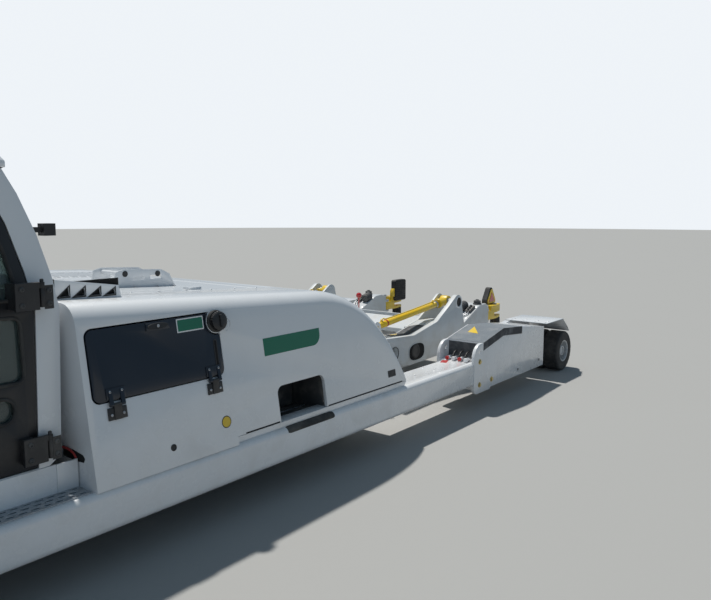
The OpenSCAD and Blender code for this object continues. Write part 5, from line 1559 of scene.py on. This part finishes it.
class TRACTOR_OT_cradle(bpy.types.Operator):
    """Make the caps, grips, motors and gate pads of the cradle"""

    bl_idname = "tractor.cradle"
    bl_label = "Cradle"

    def execute(self, context):
        sizes = context.scene.tractor_sizes
        # The pivot's recess is a black plate of painted shade on the cheek, ringed by a grey rim
        oval = power(circle_outline(1.0, 48), 0.75) * [0.14, 0.086]
        place = (RECESS[0], CHEEK_FACE + 0.0002, RECESS[1])
        recess = plate(oval, place, REARWARD, UPWARD, 0.0015, 0.0004)
        raise_piece("pivot_recess", both([recess]), "dark", "cradle")
        rim = closed_sweep(at_depth(oval + RECESS, CHEEK_FACE + 0.001), 0.0045)
        raise_piece("pivot_recess_rim", both([rim]), "grey", "cradle")
        cap = [(0.07, 0.001), (0.07, 0.004), (0.062, 0.007), (0.05, 0.007), (0.046, 0.004), (0.02, 0.004)]
        raise_piece("pivot_caps", cheek_turned(cap, PIVOT, 36), "plastic")
        cup = [(0.049, -0.014), (0.049, -0.003), (0.042, 0.0)]
        cup += [(0.038, -0.004), (0.03, -0.006), (0.012, -0.004)]
        raise_piece("rod_pin_caps", cheek_turned(cup, ROD_PIN, 32), "rubber", "cradle")
        line = circle_outline(0.063, 40, *CHEEK_HOLE)
        hole = closed_sweep(at_depth(line, CHEEK_FACE + 0.0005), 0.0035)
        raise_piece("cheek_hole_trim", both([hole]), "black", "cradle")
        self.grips()
        self.cylinders()
        self.gate_arms(sizes)
        self.gates(sizes)
        self.left_pad()
        self.right_pad()
        return {"FINISHED"}

    @staticmethod
    def grips():
        """Top plates between the cheeks and the inner lug plates, their anti-slip patches, a blank triangle,
        and the rings round the lugs' holes."""
        top = [(-1.68, 0.645), (-1.96, 0.628), (-2.38, 0.71), (-2.57, 0.71)]
        top += [(-2.57, 0.696), (-2.376, 0.696), (-1.96, 0.614), (-1.68, 0.631)]
        raise_piece("cradle_top_plates", both([slab(top, 0.7805, 0.9595)]), "grey", "cradle")
        patches = []
        lower, upper = (-1.715, 0.643, -1.955, 0.6283, 0.0), (-1.965, 0.629, -2.24, 0.6826, 0.06)
        for x0, z0, x1, z1, cut in (lower, upper):
            along = np.array([x1 - x0, 0.0, z1 - z0])
            length = np.linalg.norm(along)
            along /= length
            shape = [(0, -0.072), (length, -0.072), (length, 0.072 - cut), (length - cut, 0.072), (0, 0.072)]
            patches.append(plate(shape, (x0, 0.87, z0 + 0.0004), along, RIGHTWARD, 0.0022, 0.0005))
        raise_piece("cradle_grips", both(patches), "dark_grit", "cradle")
        along = np.array([-0.998, 0, -0.061])
        triangle = [(-0.07, 0.03), (-0.06, -0.04), (0.07, 0.035)]
        mark = plate(triangle, (-1.84, 0.87, 0.6382), along, RIGHTWARD, 0.0008, 0.0002)
        raise_piece("cradle_marks", both([mark]), "yellow", "cradle")
        profile = [(0.0505, -0.002), (0.0505, 0.002), (0.053, 0.005)]
        profile += [(0.062, 0.005), (0.066, 0.003), (0.066, -0.002)]
        ring = lathe(profile, (ROD_PIN[0], CHEEK_FACE, ROD_PIN[1]), LEFTWARD, 40, closed=True)
        raise_piece("lug_rings", both([ring]), "white", "cradle")

    @staticmethod
    def cylinders():
        """On the lift cylinders: gland rings, red bands, ports with a rigid pipe, and the rods' collars."""
        length = math.hypot(CYLINDER_RUN, CYLINDER_RISE)
        barrel = BARREL_SHARE * length
        way = np.array([-CYLINDER_RUN, 0, CYLINDER_RISE]) / length
        base = np.array([CYLINDER_BASE[0], CYLINDER_MIDDLE, CYLINDER_BASE[1]])

        def turned(profile, distance, sides=28):
            """A profile turned round each cylinder's axis, a distance along it from the base pin."""
            return both([lathe(profile, base + way * distance, way, sides)])

        gland = [(0.0335, 0), (0.037, 0.003), (0.037, 0.028), (0.033, 0.034), (0.0215, 0.035)]
        raise_piece("cylinder_glands", turned(gland, barrel - 0.033), "steel", "lift_barrels")
        band = [(0.0325, 0), (0.0352, 0.003), (0.0352, 0.017), (0.0325, 0.02)]
        raise_piece("cylinder_bands", turned(band, 0.2), "red_paint", "lift_barrels")
        port = [(0.014, 0), (0.014, 0.012), (0.011, 0.014), (0.011, 0.022), (0.008, 0.024)]
        ends = (0.14, barrel - 0.08)
        parts = [lathe(port, base + way * end + [0, 0, 0.028], (0.1, 0, 1), 16) for end in ends]
        bends = [(ends[0], 0, 0.05), (0.16, 0.012, 0.058), (0.2, 0.022, 0.05), (0.6, 0.024, 0.046)]
        bends += [(barrel - 0.13, 0.022, 0.05), (barrel - 0.09, 0.01, 0.058), (ends[1], 0, 0.05)]
        pipe = [base + way * distance + [0, out, up] for distance, out, up in bends]
        parts.append(sweep(curve(pipe, 60), 0.006, 10))
        raise_piece("cylinder_pipes", both(parts), "yellow", "lift_barrels")
        collar = [(0.026, 0), (0.047, 0.003), (0.05, 0.008), (0.05, 0.03)]
        collar += [(0.047, 0.036), (0.047, 0.118), (0.044, 0.124), (0.026, 0.125)]
        raise_piece("rod_collars", turned(collar, barrel + 0.026, 32), "yellow", "lift_rods")

    @staticmethod
    def gate_arms(sizes):
        """On the gate arms: deep covers, the swing motors with their ports, valve blocks and rigid pipes."""
        cover = [*GATE_ARM_TOP, (-3.69, 0.75), (-3.792, 0.714)]
        cover += [(-3.792, 0.53), (-3.33, 0.45), (-3.13, 0.45)]
        box = slab(cover, 0.6375, 0.8625, 0.004)
        raise_piece("gate_arm_covers", both([box]), "grey", "cradle")
        up = np.array([math.sin(GATE_ARM_SLOPE), 0, math.cos(GATE_ARM_SLOPE)])
        uphill = np.array([-math.cos(GATE_ARM_SLOPE), 0, math.sin(GATE_ARM_SLOPE)])
        foot_x, foot_z = GATE_ARM_TOP[0]

        def at(x, y, lift=0.0):
            """The point over x and y on the arm's sloping top, moved off it squarely by the lift."""
            return np.array([x, y, foot_z + (foot_x - x) * math.tan(GATE_ARM_SLOPE)]) + up * lift

        motor = [(0.05, 0), (0.05, 0.012), (0.042, 0.014), (0.042, 0.04)]
        motor += [(0.036, 0.047), (0.02, 0.049), (0.018, 0.058), (0.008, 0.059)]
        swing = [(0.055, 0), (0.055, 0.07), (0.05, 0.075), (0.05, 0.1)]
        swing += [(0.044, 0.106), (0.02, 0.107), (0.018, 0.112), (0.008, 0.113)]
        port = [(0.012, 0), (0.012, 0.016), (0.009, 0.02)]
        dark = [lathe(motor, (-3.625, 0.8, 0.7462), UPWARD, 28)]
        dark.append(lathe(swing, (-3.5, 0.7, 0.742), (0.98, 0, -0.2), 28))
        dark.append(plate(round_rect(0.13, 0.07, 0.006), at(-3.46, 0.8), uphill, RIGHTWARD, 0.03, 0.004))
        dark += [lathe(port, at(-3.425 - 0.033 * k, 0.8, 0.03), up, 14) for k in range(3)]
        raise_piece("gate_motors", both(dark), "casting", "cradle")
        pipes = []
        for y0, y1 in ((0.785, 0.69), (0.815, 0.72)):
            bends = [at(-3.4, y0, 0.016), at(-3.36, y0, 0.016), at(-3.28, (y0 + y1) / 2, 0.012)]
            bends += [at(-3.18, y1, 0.012), (-3.08, y1, 0.533), (-2.9, y1, 0.486), (-2.74, y1, 0.43)]
            pipes.append(sweep(curve(bends, 50), sizes.pipe * 0.6, 10))
        raise_piece("gate_pipes", both(pipes), "steel", "cradle")
        spots = [at(x, y, 0.0003) for x in (-3.53, -3.3) for y in (0.66, 0.84)]
        bolts = hex_bolts(spots, up, sizes.bolt * 0.7)
        raise_piece("gate_arm_bolts", both(bolts), "steel", "cradle")

    @staticmethod
    def gates(sizes):
        """On both gates: the pin's nut, the upper bar with a round end, its bolts and the roller's end."""
        nut = [(0.045, 0), (0.045, 0.008), (0.03, 0.01), (0.03, 0.02), (0.02, 0.024)]
        angle = np.linspace(TAU / 4, 3 * TAU / 4, 9)
        tip = np.stack([0.04 * np.cos(angle) - 0.34, 0.04 * np.sin(angle)], axis=1)
        bar = np.concatenate([[(-0.075, 0.063), (-0.2, 0.07)], tip, [(-0.2, -0.07), (-0.075, -0.063)]])
        end = [(0.04, 0), (0.04, 0.003), (0.025, 0.005), (0.012, 0.004)]
        bolts = [at_gate_pin(-0.1, 0, 0.6898), at_gate_pin(-0.26, 0.02, 0.6898)]
        upper_bar = plate(bar, at_gate_pin(0, 0, 0.6318), AHEAD, LEFTWARD, 0.058, 0.004)
        pieces = (
            ("gate_pin_nut", [lathe(nut, at_gate_pin(0, 0, 0.7), UPWARD, 24)], "steel", "yellow_paint"),
            ("gate_upper_bar", [upper_bar], "yellow", "yellow_paint"),
            ("gate_bolts", hex_bolts(bolts, UPWARD, sizes.bolt * 0.7), "steel", "dark_metal"),
            ("gate_roller_end", [lathe(end, (*ROLLER, 0.3342), DOWNWARD, 20)], "steel", "dark_metal"),
        )
        for side, word in ((LEFT, "left"), (RIGHT, "right")):
            for name, parts, finish, slot in pieces:
                raise_piece(f"{name}_{word}", for_side(parts, side), finish, f"gate_{word}")

    @staticmethod
    def left_pad():
        """The left gate's roller and three-cornered rubber, with a yellow backing and a red reflector."""
        outline = [(-4.262, 0.692), (-4.03, 0.692), (-4.03, 0.745)]
        outline += [(-4.125, 0.895), (-4.17, 0.895), (-4.262, 0.745)]
        rubber = slab(dense(outline, 0.05, 0.02), 0.645, 0.715, 0.005)
        side = [(0.056, 0.0), (0.06, 0.004), (0.06, 0.186), (0.056, 0.19)]
        roller = lathe(side, (*ROLLER, 0.3343), UPWARD)
        pad = raise_piece("gate_rubber_left", [rubber, roller], "rubber", "gate_left")
        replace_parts(pad, "gate_pads_left")
        outline = [(-4.245, 0.7), (-4.045, 0.7), (-4.045, 0.742)]
        outline += [(-4.13, 0.875), (-4.16, 0.875), (-4.245, 0.742)]
        backing = slab(dense(outline, 0.05, 0.015), 0.7152, 0.7235)
        raise_piece("gate_backing_left", [backing], "yellow", "gate_left")
        triangle = dense([(-4.215, 0.722), (-4.075, 0.722), (-4.145, 0.835)], 0.05, 0.008)
        reflector = slab(triangle, 0.7235, 0.7275, 0.001)
        raise_piece("gate_reflector_left", [reflector], "red", "gate_left")

    @staticmethod
    def right_pad():
        """Ribs on the right gate's tall rubber, and the yellow block that holds it."""
        rib = round_rect(0.236, 0.012, 0.004)
        heights = np.arange(0.655, 0.9, 0.028)
        ribs = [plate(rib, (-4.145, 0.6448, z), AHEAD, UPWARD, 0.004, 0.001) for z in heights]
        raise_piece("gate_pad_ribs_right", for_side(ribs, RIGHT), "rubber", "gate_right")
        outline = [(-4.019, 0.6905), (-3.975, 0.6905), (-3.975, 0.765), (-4.0, 0.8), (-4.019, 0.8)]
        block = [mirrored(slab(outline, 0.655, 0.705, 0.004))]
        raise_piece("gate_pad_block_right", block, "yellow", "gate_right")


# Front end: the faces of the lamps and of the bumper, in x
LAMP_FACE = 4.1782
BUMPER_FACE = 4.2904


class TRACTOR_OT_front(bpy.types.Operator):
    """Make the lamps' rims and lenses, the edges of the wheel arches and the bumper's bolts"""

    bl_idname = "tractor.front"
    bl_label = "Front end"

    def execute(self, context):
        sizes = context.scene.tractor_sizes
        rim = [(0.05, 0), (0.05, 0.005), (0.046, 0.007), (0.042, 0.003)]
        bowl = [(0.042, 0.001), (0.04, 0.004), (0.03, 0.007), (0.015, 0.0085), (0.004, 0.009)]
        centres = [(LAMP_FACE, y, 0.76) for y in (0.985, 1.115)]
        rims = [lathe(rim, centre, AHEAD) for centre in centres]
        bowls = [lathe(bowl, centre, AHEAD) for centre in centres]
        raise_piece("lamp_rims", both(rims), "black")
        raise_piece("lamp_lenses", both(bowls), "clear")
        arch = [(3.04, 0.562), (3.04, 0.64), (3.16, 0.74), (3.33, 0.79)]
        arch += [(3.79, 0.79), (3.96, 0.74), (4.10, 0.64), (4.10, 0.562)]
        steps = np.arange(8 * len(arch) - 7) / 8
        x, z = (np.interp(steps, np.arange(len(arch)), values) for values in np.transpose(arch))
        edge = sweep(np.column_stack([x, side_y(z), z]), 0.009, 8)
        raise_piece("arch_edges", both([edge]), "rubber")
        spots = [(BUMPER_FACE, y, z) for y in (0.4, 0.9, 1.4) for z in (0.36, 0.5)]
        raise_piece("bumper_bolts", both(hex_bolts(spots, AHEAD, sizes.bolt)), "steel")
        return {"FINISHED"}


# Driver's seat: the middle of its cushion in x and y, and the back's middle in x and its turn
SEAT_MIDDLE = (2.48, 0.86)
BACK_MIDDLE = 2.285
BACK_TURN = 1.68


def cushion(size, crown, channel_depth, rows=40):
    """A crowned closed cushion about (0, 0, 0): a superellipsoid whose faces swell by a cosine hump and whose
    sides pull in between the corners, with two sewn channels along its length."""
    up = np.linspace(-math.pi / 2, math.pi / 2, rows)
    round_way = np.arange(2 * rows) * TAU / (2 * rows)
    u, v = np.meshgrid(up, round_way, indexing="ij")
    x = power(np.cos(u), 0.35) * power(np.cos(v), 0.3)
    y = power(np.cos(u), 0.35) * power(np.sin(v), 0.3)
    z = power(np.sin(u), 0.6)
    hump = np.cos(x * math.pi / 2 * 0.95) * np.cos(y * math.pi / 2 * 0.95)
    channel = np.exp(-(((np.abs(y) - 0.55) / 0.045) ** 2)) * np.clip(z, 0, 1)
    z = z * (1 + crown * hump) - channel_depth * channel
    y = y * (1 - 0.02 * np.cos(x * math.pi / 2))
    return rings(np.stack([x, y, z], axis=-1) * np.array(size) / 2)


class TRACTOR_OT_seat(bpy.types.Operator):
    """Make the driver's seat: base with its bellows, cushion and back"""

    bl_idname = "tractor.seat"
    bl_label = "Driver's seat"

    def execute(self, context):
        low, high = (np.array(corner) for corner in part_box("seat"))
        foot = np.array([(low[0] + high[0]) / 2, (low[1] + high[1]) / 2, low[2]])
        floor = foot[2]
        folds = [(0.15 if k % 2 else 0.165, 0.04 + 0.014 * k) for k in range(13)]
        base = [
            plate(round_rect(0.34, 0.34, 0.03), foot, AHEAD, LEFTWARD, 0.04, 0.004),
            lathe(folds, foot, UPWARD, 40),
            plate(round_rect(0.44, 0.44, 0.05), (*SEAT_MIDDLE, floor + 0.205), AHEAD, LEFTWARD, 0.03, 0.004),
        ]
        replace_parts(raise_piece("seat_base", base, "plastic"), "seat")
        points, faces = cushion((0.5, 0.48, 0.12), 0.16, 0.14)
        self.pad("seat_cushion", points + [*SEAT_MIDDLE, floor + 0.29], faces)
        points, faces = cushion((0.56, 0.46, 0.1), 0.16, 0.14)
        cos, sin = math.cos(BACK_TURN), math.sin(BACK_TURN)
        turned = points @ np.array([[cos, 0, sin], [0, 1, 0], [-sin, 0, cos]])
        self.pad("seat_back", turned + [BACK_MIDDLE, SEAT_MIDDLE[1], floor + 0.58], faces)
        return {"FINISHED"}

    @staticmethod
    def pad(name, points, faces):
        """A padded piece in the seat's cloth."""
        piece = raise_piece(name, [(points, faces)], "cloth", smooth=60)


OPERATORS = (
    TRACTOR_OT_finishes,
    TRACTOR_OT_stage,
    TRACTOR_OT_wheels,
    TRACTOR_OT_sides,
    TRACTOR_OT_cab,
    TRACTOR_OT_deck,
    TRACTOR_OT_arms,
    TRACTOR_OT_cradle,
    TRACTOR_OT_front,
    TRACTOR_OT_seat,
)


class TRACTOR_PT_panel(bpy.types.Panel):
    """Lists the operators and the sizes of the tractor."""

    bl_idname = "TRACTOR_PT_panel"
    bl_label = "Pushback tractor"
    bl_space_type = "VIEW_3D"
    bl_region_type = "UI"
    bl_category = "Tractor"

    def draw(self, context):
        column = self.layout.column(align=True)
        for group in (context.scene.tractor_colours, context.scene.tractor_sizes):
            for key in group.__annotations__:
                column.prop(group, key)
        for operator in OPERATORS:
            column.operator(operator.bl_idname)


CLASSES = (TractorColours, TractorSizes, *OPERATORS, TRACTOR_PT_panel)


def register():
    """Adds the classes, and the sizes and colours on the scene."""
    for cls in CLASSES:
        bpy.utils.register_class(cls)
    bpy.types.Scene.tractor_colours = bpy.props.PointerProperty(type=TractorColours)
    bpy.types.Scene.tractor_sizes = bpy.props.PointerProperty(type=TractorSizes)


def unregister():
    """Takes away what register adds."""
    del bpy.types.Scene.tractor_sizes
    del bpy.types.Scene.tractor_colours
    for cls in reversed(CLASSES):
        bpy.utils.unregister_class(cls)


def main():
    """Makes every group of pieces in order."""
    register()
    for operator in OPERATORS:
        group, name = operator.bl_idname.split(".")
        getattr(getattr(bpy.ops, group), name)()


if __name__ == "__main__":
    main()
